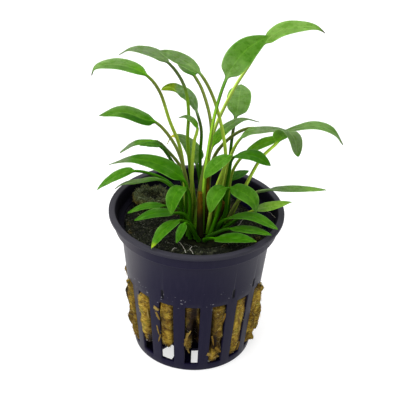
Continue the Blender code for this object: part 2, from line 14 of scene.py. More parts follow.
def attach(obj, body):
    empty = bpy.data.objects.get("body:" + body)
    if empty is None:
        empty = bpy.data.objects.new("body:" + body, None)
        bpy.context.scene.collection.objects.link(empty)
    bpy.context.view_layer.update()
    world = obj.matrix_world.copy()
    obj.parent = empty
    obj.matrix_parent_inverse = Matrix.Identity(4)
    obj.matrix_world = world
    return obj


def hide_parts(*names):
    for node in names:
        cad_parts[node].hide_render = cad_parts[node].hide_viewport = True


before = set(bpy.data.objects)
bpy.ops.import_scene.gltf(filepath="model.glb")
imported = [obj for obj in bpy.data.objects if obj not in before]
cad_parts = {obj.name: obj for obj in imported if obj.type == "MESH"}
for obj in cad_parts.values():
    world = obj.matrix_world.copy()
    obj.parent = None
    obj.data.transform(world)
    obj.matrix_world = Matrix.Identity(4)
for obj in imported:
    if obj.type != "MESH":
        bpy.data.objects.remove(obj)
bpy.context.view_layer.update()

MM = 0.001
TURN = 2 * math.pi
scene = bpy.context.scene

# Net pot: its main sizes are those of the part's source
POT_HEIGHT = 50.0
LIP_RADIUS = 27.5
LIP_INNER_RADIUS = 25.7
LIP_THICKNESS = 1.1
COLLAR_RADIUS = 25.75
COLLAR_BOTTOM = 44.7
BODY_BASE_RADIUS = 19.3
BODY_TAPER = 0.1
WALL = 0.9
FLOOR = 1.2
FOOT_CHAMFER = 0.4
SLOT_COUNT = 16
SLOT_WIDTH = 12.5
SLOT_BOTTOM = 3.0
SLOT_TOP = 27.5
FLOOR_OPENING_COUNT = 8
FLOOR_OPENING_WIDTH = 22.5
FLOOR_OPENING_RADII = (9.5, 16.5)
POT_COLUMNS = 288
NOTCH_BEARINGS = (33.75, 56.25, -25.0)
NOTCH_HEIGHTS = (29.6, 33.0)
NOTCH_DEPTH = 0.5
NOTCH_HALF_WIDTH = 0.7
POT_EDGE = 0.22
LIP_BEVEL = 0.5
LIP_INSIDE_DEPTH = 1.6

# Growing wool: its main sizes are those of the part's source. An arc is the bearing of its
# middle and its reach
GAP = 0.4
WOOL_TOP = 44.0
WOOL_TOP_RADIUS = 20.6
FRONT_RISE = 3.4
FRONT_RISE_ARC = (0.0, 75.0)
RIGHT_DROP = 3.0
RIGHT_DROP_ARC = (100.0, 60.0)
RISE_BLEND = 40.0
DROP_BLEND = 30.0
WOOL_BOTTOM = 1.9
WOOL_MIDDLE_BOTTOM = 4.7
WOOL_HOLLOW = 8.0
WOOL_HOLLOW_ARC = (-12.0, 62.0)
WOOL_HOLLOW_BLEND = 40.0
WOOL_UNDERSIDE_RADIUS = 17.0
UNDERSIDE_SHARES = (0.02, 0.3, 0.6, 0.85, 0.95)
UNDERSIDE_DAMP = 0.85
WOOL_MIDDLE_TOP = 43.2
WOOL_EDGE_HEIGHT = 42.0
WOOL_CLEARANCE = 0.12
SLOT_CLEARANCE = 0.35
WOOL_COLUMNS = 360
WOOL_ROWS = 64
WOOL_TOP_ROWS = 34
BULGE = 1.1
BULGE_ARCS = ((90.0, 35.0), (-88.0, 40.0))

# Where the wool is torn back or stands out beside the wall: bearing, height, the reach in
# each, millimetres outward, and how damp and dark it is, or bleached if less than 0. In the
# sunk lumps that dark is partly painted shade, in the hollows and along the slot edges
WOOL_LUMPS = (
    (3.2, 13.6, 4.2, 8.4, -6.0, 1.0),
    (0.0, 24.0, 9.0, 4.5, -0.9, 0.7),
    (-3.0, 17.6, 5.5, 3.6, -0.7, 1.1),
    (8.0, 20.0, 2.2, 16.0, -1.6, 0.6),
    (-4.8, 11.4, 2.3, 4.4, 0.7, -0.25),
    (-23.0, 6.5, 6.0, 1.8, -1.5, 0.4),
    (-29.5, 23.5, 3.6, 3.0, 1.2, -0.35),
    (-29.0, 15.0, 2.2, 5.0, 0.6, 0.0),
    (-22.0, 10.0, 5.0, 4.0, 0.0, 0.25),
    (-16.8, 16.0, 1.6, 14.0, -1.6, 0.5),
    (-45.0, 7.5, 8.0, 4.5, -0.3, 0.8),
    (-48.0, 18.5, 6.5, 12.0, 0.8, -1.0),
    (-40.0, 16.0, 2.0, 12.0, -1.2, 0.5),
    (17.0, 16.0, 2.4, 14.0, -1.8, 0.7),
    (22.5, 11.5, 7.0, 3.0, -0.7, 0.6),
    (24.0, 16.0, 7.0, 14.0, 0.0, 0.38),
    (22.0, 20.0, 2.5, 5.0, 0.4, -0.3),
    (29.0, 17.0, 1.8, 13.0, -1.2, 0.5),
    (20.0, 6.0, 5.0, 3.0, 0.9, -0.5),
    (51.0, 20.0, 1.6, 12.0, -0.6, 0.4),
    (44.0, 18.0, 6.0, 13.0, 0.3, -1.1),
    (45.0, 14.0, 3.0, 3.0, 0.3, 0.3),
    (41.0, 26.0, 4.0, 1.8, -0.2, 0.35),
    (68.0, 21.0, 9.0, 5.0, 0.7, -0.3),
    (88.0, 27.0, 12.0, 6.6, -3.2, 0.3),
    (80.0, 12.0, 13.0, 9.0, 1.1, -0.4),
    (84.0, 7.0, 13.0, 5.0, 0.9, -0.2),
    (-88.0, 27.0, 9.0, 3.0, -2.5, 0.3),
)
# Where the lower edge of the wool hangs down: bearing, reach, millimetres down
WOOL_HEMS = (
    (20.5, 6.5, 3.0),
    (16.5, 5.5, 3.6),
    (-45.0, 8.0, 1.2),
    (45.0, 8.0, 1.6),
    (-23.0, 6.0, 0.6),
)

# Drier, tan places on the wool's top: x, y and reach
DRY_SPOTS = (
    (-22.0, -1.0, 1.5),
    (-20.5, -5.5, 1.0),
    (-17.5, 4.0, 1.2),
    (20.0, -2.5, 1.8),
    (17.5, -10.5, 1.2),
    (8.0, 12.5, 4.0),
    (10.0, 4.0, 1.2),
    (9.0, -15.5, 1.2),
    (-6.0, 8.0, 2.0),
)

# Loose bent flakes of wool at the slots: bearing, height, width, length, turn in degrees
# and how pale
FLAKES = (
    (-31.5, 24.3, 1.5, 2.0, 74.0, 0.45),
    (-30.4, 21.5, 0.9, 3.2, 30.0, 0.30),
    (-31.0, 15.5, 0.5, 4.2, 16.0, 0.35),
    (-29.7, 12.0, 0.5, 3.6, -12.0, 0.30),
    (-19.0, 26.0, 0.9, 2.0, 60.0, 0.25),
    (-52.0, 24.0, 1.0, 3.4, 8.0, 0.40),
    (-51.3, 15.5, 0.8, 3.0, -10.0, 0.30),
    (-41.0, 20.0, 0.6, 3.4, 14.0, 0.45),
    (-4.9, 14.0, 1.0, 5.5, -10.0, 0.28),
    (-3.2, 10.0, 0.7, 3.6, 18.0, 0.40),
    (-2.8, 16.5, 0.5, 3.0, -24.0, 0.45),
    (20.5, 6.4, 1.5, 4.6, 64.0, 0.35),
    (25.0, 8.4, 1.1, 3.0, 40.0, 0.10),
    (27.0, 22.0, 0.7, 3.5, -12.0, 0.05),
    (18.8, 13.0, 0.6, 4.0, 10.0, 0.05),
    (42.0, 9.0, 0.9, 4.0, 20.0, 0.15),
    (49.0, 6.0, 0.8, 3.0, -20.0, 0.10),
    (44.0, 18.0, 0.8, 4.4, 24.0, 0.25),
    (64.0, 20.0, 1.2, 4.0, 10.0, 0.50),
    (-66.0, 20.0, 1.0, 4.5, 6.0, 0.40),
    (-70.0, 10.0, 0.9, 3.5, -14.0, 0.30),
    (112.0, 18.0, 1.1, 4.0, 10.0, 0.30),
    (158.0, 14.0, 1.2, 3.6, -10.0, 0.40),
    (-113.0, 21.0, 1.1, 4.2, 8.0, 0.20),
    (-157.0, 12.0, 1.2, 3.8, 14.0, 0.30),
)

# Crown and loose tuft
CROWN_CENTRE = (3.2, -4.3)
CROWN_RADII = (8.7, 7.6)
CROWN_BOTTOM = 42.4
CROWN_TOP = 44.2
TUFT_CENTRE = (-14.6, 10.3)
TUFT_RADII = (6.4, 4.9)
TUFT_BOTTOM = 44.9
TUFT_TOP = 49.7
SHIFT_OFFSETS = ((0.0, 0.0, 0.0), (31.4, 0.0, 0.0), (0.0, 47.7, 0.0))
TUFT_BROWN_BELOW = 48.2
MOUND_INSET = 0.3

# Leaves
FOOT_GAP = 0.4
FOOT_RADIUS = 0.74
NECK_RADIUS = 0.48
BLADE_CURVE = 1.45
BLADE_THICKNESS = 0.26
BLADE_OPENED = 0.16
BLADE_NARROWED = 0.15
FOLD = 0.08
FOLD_POWER = 1.35
GROOVE_DEPTH = 0.09
GROOVE_WIDTH = 0.35
RIDGE_HEIGHT = 0.32
RIDGE_WIDTH = 0.55
WAVE = 0.16
LEAF_SIDES = 32
BLADE_RINGS = 34
STALK_STEP = 1.5
RIPPLE_SEED_STEP = 7.3

# Linear colours of the plant's parts
LIME = (0.33, 0.48, 0.045)
PALE_LIME = (0.45, 0.62, 0.10)
OLIVE = (0.16, 0.21, 0.038)
UMBER = (0.10, 0.15, 0.046)
GRASS = (0.18, 0.35, 0.018)
MOSS = (0.065, 0.11, 0.025)
BARK = (0.065, 0.085, 0.018)
DARK = (0.026, 0.095, 0.004)
DEEP = (0.032, 0.140, 0.001)
MID = (0.047, 0.170, 0.004)
FRESH = (0.064, 0.195, 0.010)
BRIGHT = (0.085, 0.25, 0.004)
LEAFY = (0.072, 0.195, 0.015)
# GREY and PALE_GREY are leaf greens greyed by a painted sheen, the reflected light on upturned blades
GREY = (0.110, 0.190, 0.058)
PALE_GREY = (0.125, 0.195, 0.080)
SAGE = (0.125, 0.24, 0.055)
APPLE = (0.15, 0.29, 0.050)
SPRING = (0.18, 0.34, 0.035)
# SILVERY is a pale leaf green greyed by a painted sheen
SILVERY = (0.21, 0.34, 0.14)
GOLD = (0.24, 0.35, 0.012)
YELLOW = (0.55, 0.50, 0.04)
SCORCHED = (0.040, 0.028, 0.012)
LEAF_SPECK = (0.02, 0.045, 0.004)
ROTTED = (0.004, 0.008, 0.002)
CROWN_BARK = ((0.003, 0.006, 0.0015), (0.012, 0.014, 0.004))
DEAD_SHEATH = ((0.17, 0.085, 0.001), (0.05, 0.035, 0.001))
ROOT_WHITE = ((0.58, 0.56, 0.50), (0.40, 0.37, 0.30))

# Linear colours of the pot, and of the wet ground. The wool turns to ground between two heights
PLASTIC = (0.004, 0.0028, 0.019)
PLASTIC_HAZED = (0.009, 0.007, 0.024)
# Painted shade for the inside of the collar
INSIDE_PAINTED_SHADE = (0.0015, 0.001, 0.005)
# Painted sheen down the pot's left side
PAINTED_LEFT_SHEEN = (0.064, 0.057, 0.064)
LIP_GREY = (0.035, 0.034, 0.043)
# Painted shade for the notches
NOTCH_PAINTED_SHADE = (0.001, 0.001, 0.003)
SCUFF = (0.25, 0.25, 0.28)
GROUND_DARK = (0.004, 0.005, 0.003)
GROUND = (0.036, 0.038, 0.020)
GROUND_FROM = (30.0, 40.0)
SLOT_FIBRE_SOAKED = (0.012, 0.005, 0.0015)
HALVES = (0.5, 0.5, 0.5)

# Colours of each kind of leaf, in the order of LEAF_COLOURS
LEAF_COLOURS = (
    "Foot Colour", "Stalk Colour", "Neck Colour", "Base Colour", "Blade Colour", "Tip Colour")
LOOKS = {
    "high": (BRIGHT, GRASS, UMBER, GREY, PALE_GREY, GREY),
    "tall": (BRIGHT, LIME, OLIVE, SAGE, GREY, PALE_GREY),
    "sage": (BRIGHT, LIME, LIME, SAGE, PALE_GREY, GREY),
    "nodding": (BRIGHT, LIME, LIME, BRIGHT, GREY, FRESH),
    "tall_olive": (BRIGHT, OLIVE, OLIVE, MID, GREY, GREY),
    "broad": (BRIGHT, GRASS, LEAFY, SAGE, LEAFY, LEAFY),
    "spade": (DARK, DARK, BARK, SAGE, SAGE, SAGE),
    "far": (DARK, OLIVE, OLIVE, GREY, SAGE, UMBER),
    "hooked": (OLIVE, LIME, OLIVE, BRIGHT, SAGE, SCORCHED),
    "hooked_green": (BRIGHT, OLIVE, OLIVE, MID, LEAFY, GREY),
    "pale": (BRIGHT, PALE_LIME, PALE_LIME, APPLE, APPLE, SCORCHED),
    "low": (MID, DEEP, DEEP, DEEP, DEEP, MID),
    "fresh": (MID, DEEP, DEEP, MID, FRESH, FRESH),
    "long": (MID, DEEP, DEEP, DEEP, MID, PALE_GREY),
    "low_lit": (MID, DEEP, GOLD, APPLE, SPRING, APPLE),
    "low_spotted": (MID, DEEP, DEEP, MID, MID, GOLD),
    "low_tipped": (MID, DEEP, DEEP, DEEP, DEEP, LIME),
    "low_mid": (MID, DEEP, DEEP, MID, MID, LEAFY),
    "bright": (BRIGHT, LIME, LIME, BRIGHT, BRIGHT, MID),
    "tiny": (BRIGHT, LIME, LIME, BRIGHT, SAGE, GREY),
    "turned": (BRIGHT, LIME, LIME, FRESH, FRESH, MID),
    "slim": (BRIGHT, LIME, LIME, BRIGHT, GREY, UMBER),
    "edge_on": (BRIGHT, OLIVE, GREY, PALE_GREY, SAGE, APPLE),
    "yellow_tip": (DARK, MID, DARK, SAGE, GREY, YELLOW),
    "curled": (MID, DEEP, MOSS, SILVERY, SILVERY, GOLD),
    "twisted": (DARK, OLIVE, UMBER, BRIGHT, LEAFY, PALE_GREY),
    "rim": (MID, DEEP, MID, LEAFY, GREY, PALE_GREY),
    "dark": (DARK, DARK, DARK, DEEP, MID, MID),
}


class Leaf(NamedTuple):
    """Colour, foot (x, y), points up the stalk and along the blade, the blade's width, the
    kind of look, the roll in degrees at collar and tip, where the blade is widest, how far
    its end curls into a roll, in degrees each side, where the colour of the tip starts, and
    how deep the painted shade is on the half of the blade that faces the camera, which also
    sets the painted grey sheen toward the other half's margin.
    """
    colour: str
    foot: tuple
    stalk: tuple
    blade: tuple
    width: float
    look: str
    roll: tuple = (0, 0)
    fullest: float = 0.41
    curl: float = 0.0
    tip_from: float = 0.88
    near: float = 0.15


LEAVES = {
    "high_left": Leaf(
        "green", (0.2, -3.1), ((-1.4, -0.6, 57), (-3.5, 1.5, 73), (-3.5, 2.5, 82.5), (-5, 4.5, 89.5)),
        ((-9.5, 7.5, 95), (-15.5, 10, 97.5), (-21.5, 11.5, 97.5), (-25, 12, 95.5)),
        6.6, "high", (0, 0), 0.36),
    "high_centre": Leaf(
        "green", (4.4, -4.6), ((7.5, -3.5, 63), (8, -3.5, 72), (4, -2.5, 88.5)),
        ((0, -1, 95.6), (-2.8, 0.2, 97.6), (-6.1, 2.2, 98.8), (-9.5, 4, 99.6), (-12.6, 5, 100.2)),
        7, "tall", (0, 0), 0.52),
    "high_back": Leaf(
        "green", (-0.7, -7.6), ((1, -3.2, 61), (3.5, -1.2, 78), (0.5, 2.5, 89)),
        ((-2, 5, 92.5), (-4, 9, 93), (-7.5, 13, 93.5)), 5, "tall_olive"),
    "upper_left": Leaf(
        "green", (-2.4, -4.6), ((-5.5, -2, 71.7), (-9, -1.3, 81), (-12, -1, 90)),
        ((-15.2, -0.5, 94.2), (-20.5, 0.5, 96.6), (-26, 0, 97.5), (-30.6, -1, 96.6), (-31.7, -1.5, 94.5)),
        6.8, "hooked", (-10, -4), near=0.6),
    "middle_left": Leaf(
        "green", (-1.4, -5.9), ((-3.8, -4.5, 64.4), (-7, -4.5, 74.3)),
        ((-12.5, -4.5, 81.5), (-16, -5, 82.8), (-22.5, -5.5, 85.1), (-29.2, -6.5, 84.2)),
        6.8, "hooked_green", (-16, -6), near=0.85),
    "curled": Leaf(
        "dark", (1, -1.6), ((0.5, 3, 67.5), (0.5, 5, 75)),
        ((-0.9, 6, 79.9), (-2.4, 6.5, 83.7), (-4.7, 7, 85.8), (-7.6, 7, 86.7), (-11.9, 6.5, 87.1)),
        5.6, "curled", (-42, 8), 0.6, 115.0, 0.66, 0.2),
    "tiny": Leaf(
        "yellow", (-1.6, -3.3), ((-1.8, -2.1, 67), (-1.3, -1.7, 75.5)),
        ((-0.6, -1.3, 78.4), (-2.1, -0.5, 80.7), (-4, 0, 81.6), (-6.4, 0, 81.3)), 2.6,
        "tiny", (-20, 0), tip_from=0.6),
    "broad_top": Leaf(
        "green", (1.9, -6.1), ((2, -5.5, 61.5), (3, -5, 75), (4.5, -5, 86.5)),
        ((7, -4.5, 96.2), (9.3, -3, 100.6), (12.6, -1, 104.2), (18.5, 2, 107.3)), 7.7, "broad", (42, 38)),
    "top_right": Leaf(
        "green", (1.9, -0.1), ((3, 4, 68.5), (4.5, 5.8, 74.8), (9.5, 7, 87.5), (13.5, 7.5, 95)),
        ((17.5, 9, 101.5), (22.3, 9.5, 105.9), (27.6, 10, 107.2), (32.9, 10, 107.1), (35.6, 10, 105.6)),
        6.4, "pale", (20, 12), 0.37),
    "spade": Leaf(
        "dark", (7.8, 1.4), ((9.5, 6.5, 60.2), (10, 7.7, 70)),
        ((10.8, 10.5, 76.5), (11.5, 13, 79.5), (12, 17.5, 81.5), (12.7, 26, 81)),
        7.6, "spade", (0, 0), 0.38),
    "slim_right": Leaf(
        "green", (2.7, -1.6), ((3, -0.3, 65.5),),
        ((3.8, 0.5, 71.3), (7.1, 3, 75.8), (12.9, 7, 78), (18.4, 10, 75.9)), 3.5, "slim", (30, -14), 0.34),
    "flat_right": Leaf(
        "green", (7, -0.1), ((8.6, 0, 62.5), (9.9, 0.4, 69.3)),
        ((12, 0.7, 74.2), (14.9, 1, 76.8), (18.9, 1.5, 77.4), (22.8, 2, 77.5), (27, 2.7, 76.9)), 4.7, "sage"),
    "nodding_right": Leaf(
        "green", (9.5, -1.6), ((15, -0.5, 59.7), (19, -1, 69.4)),
        ((23.2, -3, 75.9), (24.4, -4, 79.1), (25.9, -5, 80.5), (27.7, -6.5, 79.2), (29.2, -8.5, 74.3)),
        7.8, "nodding", (-38, 0), 0.5, near=0.4),
    "far_right": Leaf(
        "dark", (3.6, -0.1), ((4, 2, 64.5), (6.5, 3.5, 70), (14, 7.5, 74.5)),
        ((25, 9, 73.5), (35.5, 9.5, 75.5), (41, 9, 74), (44.5, 8, 70)), 6, "far", (0, 0), 0.58),
    "arched_right": Leaf(
        "yellow", (7.8, -1.6), ((8.8, -2, 58), (9.5, -2, 64.5)),
        ((10.4, -1.5, 69.3), (16.2, -4, 71.6), (21.5, -6.5, 69.8)), 7, "low", (0, 0), 0.48),
    "turned_back": Leaf(
        "green", (3.6, -6.1), ((5.5, -5.5, 60), (8.5, -5.2, 69.5)),
        ((9.8, -5.2, 72), (5.5, -8, 70.5), (2, -11.5, 67.5)), 5.6, "turned", (0, 0), 0.45),
    "wedge_right": Leaf(
        "green", (8.7, -0.1), ((9.7, 0.9, 56.4), (10.5, 1.8, 62.4)),
        ((13.5, 3, 67.5), (19, 4.1, 71.2), (24.6, 4.8, 73.3)), 5.8, "bright", (0, 0), 0.6),
    "edge_on": Leaf(
        "green", (8.7, -3.1), ((13, -3, 55.2), (17.5, -1.5, 57.2)),
        ((21.5, 0, 57.5), (29.5, 2, 57), (40, 2, 57.2)), 4.4, "edge_on", (2, -6), 0.5, tip_from=0.6),
    "rim_right": Leaf(
        "green", (7.8, -4.6), ((12.5, -5.5, 49.8),),
        ((17.5, -5, 53), (23, -4.5, 54.5), (29, -4, 56)), 5, "low_lit"),
    "bowed_right": Leaf(
        "green", (6.1, -4.6), ((9, -5.5, 52.5), (9, -6, 58)),
        ((9.5, -6.5, 61.5), (13.5, -8.3, 61.3), (17, -10.5, 59.5), (18, -11, 56)), 7, "fresh", (8, 4)),
    "bowed_front": Leaf(
        "green", (4.4, -7.6), ((7, -8, 56), (7.5, -8, 61)),
        ((9, -9, 62.9), (6.9, -10, 63.1), (4.9, -12.5, 61.2), (4, -14, 57.1)), 5.6, "fresh"),
    "bowed_left": Leaf(
        "green", (-2.4, -7.6), ((-2, -8, 53), (-2.3, -8.7, 60.1)),
        ((-3.3, -9.2, 62.6), (-5.4, -11, 63), (-7, -13, 61.1), (-7.5, -15, 56.6)), 5.4, "low_mid"),
    "low_left": Leaf(
        "green", (-1.6, -9.1), ((-2.3, -9.8, 51.8), (-3.7, -10, 54)),
        ((-6, -10.5, 54.5), (-12.5, -12, 55), (-18.5, -14, 53.5)), 5, "low"),
    "over_rim": Leaf(
        "green", (0.1, -9.1), ((-1.2, -11.4, 50.8),),
        ((-4.4, -12, 52.9), (-8.8, -17, 53.2), (-11.4, -22.4, 52.3), (-12.7, -24.8, 51)), 4.1,
        "low_spotted", tip_from=0.84),
    "small_front": Leaf(
        "dark", (1, -10.6), ((-1.2, -13.6, 50.7),),
        ((-3.1, -15.3, 54.1), (-4.2, -17.6, 53.1), (-5.6, -20, 49.9)), 2.8, "low"),
    "low_dark": Leaf(
        "dark", (-4.1, -7.6), ((-5.3, -7.5, 53.9),),
        ((-9.5, -6.7, 54.5), (-16, -7.5, 54.5), (-21, -8.5, 52.5)), 3.8, "dark"),
    "rim_left": Leaf(
        "green", (-3.2, -3.1), ((-7, -1, 56.5),),
        ((-11, 1, 59), (-19.5, 4.5, 56), (-23.5, 6.5, 54), (-26.5, 7.5, 51.3)), 3.8, "rim", near=0.6),
    "far_left": Leaf(
        "dark", (-1.5, -0.1), ((-6, 2.5, 53.5), (-9, 4, 56.5), (-14, 6, 58)),
        ((-19.5, 7.5, 58.2), (-25, 9, 55.7), (-30, 9.5, 52), (-32.3, 9.5, 49.5)), 5.6, "fresh",
        (-14, -10), 0.46),
    "long_left": Leaf(
        "green", (-3.4, -6.2), ((-3.3, -6.9, 57.3),),
        ((-3.7, -8, 63.9), (-9, -6.9, 67.8), (-18.5, -5, 69.5), (-27, -3.2, 66.3)),
        6.4, "long", (-22, 0), 0.32, tip_from=0.68),
    "twisted_left": Leaf(
        "dark", (-0.7, -1.6), ((-5, 3, 62), (-10, 4.5, 68)),
        ((-12.9, 5, 70.4), (-16.5, 5.5, 69.8), (-20.1, 6, 68.6), (-24.6, 6.5, 65)),
        4.2, "twisted", (0, 0), 0.6, tip_from=0.5),
    "under_left": Leaf(
        "yellow", (-2.4, -1.6), ((-5, -1, 61), (-9, 0, 68)),
        ((-11.5, 0.5, 71), (-15, 0.8, 71.5), (-18, 1, 71)), 3.8, "dark"),
    "yellow_tip": Leaf(
        "yellow", (0.2, -0.1), ((0.8, 2.7, 57),),
        ((-0.5, 3.6, 63.7), (-1.5, 4.8, 67.5), (-5.5, 8, 70.3), (-8.5, 8, 70.7), (-10, 7, 68.5)),
        5.2, "yellow_tip", (-80, 5), 0.17, tip_from=0.7),
    "low_right": Leaf(
        "green", (5.3, -6.1), ((7, -7, 48.8),),
        ((9, -8, 51.3), (12.5, -9.7, 53.7), (17.5, -12, 55), (24.5, -15, 53)), 4.9, "low_mid", (0, 0), 0.52),
    "low_right_2": Leaf(
        "green", (3.5, -9.1), ((6.5, -9.7, 47.5),),
        ((10, -10.5, 49.5), (16.5, -13.5, 51.3), (22.5, -17.5, 52.5)), 4.5, "dark"),
    "low_front": Leaf(
        "green", (2.7, -10.6), ((4, -12, 46.7),),
        ((5.5, -13.8, 48), (12, -17.8, 51), (18, -20.5, 52)), 6.2, "low_tipped", tip_from=0.95),
    "back_small": Leaf(
        "green", (9.8, 1.4), ((10, 3, 53),),
        ((10.3, 2.8, 58.6), (13, 6, 59.5), (16, 9, 59.1)), 4, "low"),
}

# Dead sheaths and roots: the radius at the start and the end, and the route of each
SHEATH_RADII = (1.1, 0.7)
SHEATHS = {
    "front": ((1.3, -7.8, 45), (1.1, -7.6, 52), (0.9, -7.1, 60)),
    "middle": ((2.7, -4.6, 45), (2.9, -4.3, 55), (2.6, -4.0, 66)),
    "right": ((7.0, -3.1, 45), (7.3, -3.4, 50), (8.0, -4.0, 55)),
}

ROOT_RADII = (0.08, 0.04)
ROOTS = {
    "left": ((-5.0, -12.8, 45.6), (-4.2, -17.7, 48.1), (-3.4, -22, 50), (-2.5, -26, 50.8)),
    "front": ((-0.9, -20, 49), (-1.4, -23.1, 50.2), (-0.4, -26.2, 50.8)),
    "short": ((-5.4, -21.5, 49.2), (-6.0, -23, 50.3), (-6.8, -25.4, 50.8)),
    "curled": ((12.8, -3.2, 45.4), (16, -2.6, 50), (19.1, -3, 52), (22.3, -3.9, 52),
               (24.2, -5.8, 51.2)),
}

# Camera and light: the photograph looks down at the middle of the plant
CAMERA_DISTANCE = 300.0
CAMERA_ELEVATION = 31.5
CAMERA_ROLL = 2.2
CAMERA_TARGET = (0.93, 0.0, 53.0)
CAMERA_LENS = 86.7
LIGHT_TARGET = (0, 0, 55)


class Wire:
    """A node's output that arithmetic can be written on: each operation adds a Math node."""

    def __init__(self, tree, socket):
        self.tree = tree
        self.socket = socket

    def other(self, output):
        """Return another output of the same node."""
        return Wire(self.tree, self.socket.node.outputs[output])

    def __add__(self, value):
        return self.tree.maths("ADD", self, value)

    __radd__ = __add__

    def __sub__(self, value):
        return self.tree.maths("SUBTRACT", self, value)

    def __rsub__(self, value):
        return self.tree.maths("SUBTRACT", value, self)

    def __mul__(self, value):
        return self.tree.maths("MULTIPLY", self, value)

    __rmul__ = __mul__

    def __truediv__(self, value):
        return self.tree.maths("DIVIDE", self, value)

    def __rtruediv__(self, value):
        return self.tree.maths("DIVIDE", value, self)

    def __pow__(self, value):
        return self.tree.maths("POWER", self, value)

    def __neg__(self):
        return self.tree.maths("MULTIPLY", self, -1.0)

    def __abs__(self):
        return self.tree.maths("ABSOLUTE", self)

    def __lt__(self, value):
        return self.tree.maths("LESS_THAN", self, value)

    def __gt__(self, value):
        return self.tree.maths("GREATER_THAN", self, value)


class Tree:
    """A node tree, with one method that adds any node and short forms of common ones."""

    def __init__(self, tree):
        self.tree = tree

    def feed(self, socket, value):
        if isinstance(value, Wire):
            self.tree.links.new(value.socket, socket)
        elif socket.type == "RGBA" and len(value) == 3:
            socket.default_value = (*value, 1.0)
        else:
            socket.default_value = value

    def node(self, kind, settings=None, inputs=None, output=0):
        """Add a node: first its settings, then the value or wire of each input."""
        made = self.tree.nodes.new(kind)
        for name, value in (settings or {}).items():
            if name == "stops":
                ramp = made.color_ramp
                while len(ramp.elements) < len(value):
                    ramp.elements.new(1.0)
                for element, (place, colour) in zip(ramp.elements, value):
                    element.position = place
                    element.color = (*colour, 1.0)
            else:
                setattr(made, name, value)
        for place, value in (inputs or {}).items():
            for one in value if isinstance(value, list) else [value]:
                self.feed(made.inputs[place], one)
        return Wire(self, made.outputs[output])

    def maths(self, operation, first, second=0.0):
        return self.node("ShaderNodeMath", {"operation": operation}, {0: first, 1: second})

    def vector(self, operation, first, second=(0.0, 0.0, 0.0), scale=1.0, output=0):
        return self.node("ShaderNodeVectorMath", {"operation": operation},
                         {0: first, 1: second, 3: scale}, output)

    def mix(self, share, first, second):
        """Blend two colours."""
        return self.node("ShaderNodeMix", {"data_type": "RGBA"}, {0: share, 6: first, 7: second}, 2)

    def tinted(self, share, colour, factor, more=(0.0, 0.0, 0.0)):
        """Blend a colour toward itself times a factor, with some more colour added."""
        if isinstance(factor, float):
            factor = (factor, factor, factor)
        changed = self.node("ShaderNodeVectorMath", {"operation": "MULTIPLY_ADD"},
                            {0: colour, 1: factor, 2: more})
        return self.mix(share, colour, changed)

    def smooth(self, value, low, high):
        """Smooth step from 0 at low to 1 at high."""
        return self.node("ShaderNodeMapRange", {"interpolation_type": "SMOOTHSTEP"},
                         {"Value": value, "From Min": low, "From Max": high})

    def noise(self, place, scale, detail=2.0, roughness=0.5):
        return self.node("ShaderNodeTexNoise", None, {
            "Vector": place, "Scale": scale, "Detail": detail, "Roughness": roughness})

    def combine(self, x, y, z):
        return self.node("ShaderNodeCombineXYZ", None, {0: x, 1: y, 2: z})

    def parts(self, vector):
        """Return the three parts of a vector."""
        split = self.node("ShaderNodeSeparateXYZ", None, {0: vector})
        return split, split.other(1), split.other(2)

    def polar(self, x, y):
        """Return the distance from the pot's axis, and the bearing as a share of a turn."""
        return self.maths("SQRT", x * x + y * y), self.maths("ARCTAN2", x, -y) / TURN


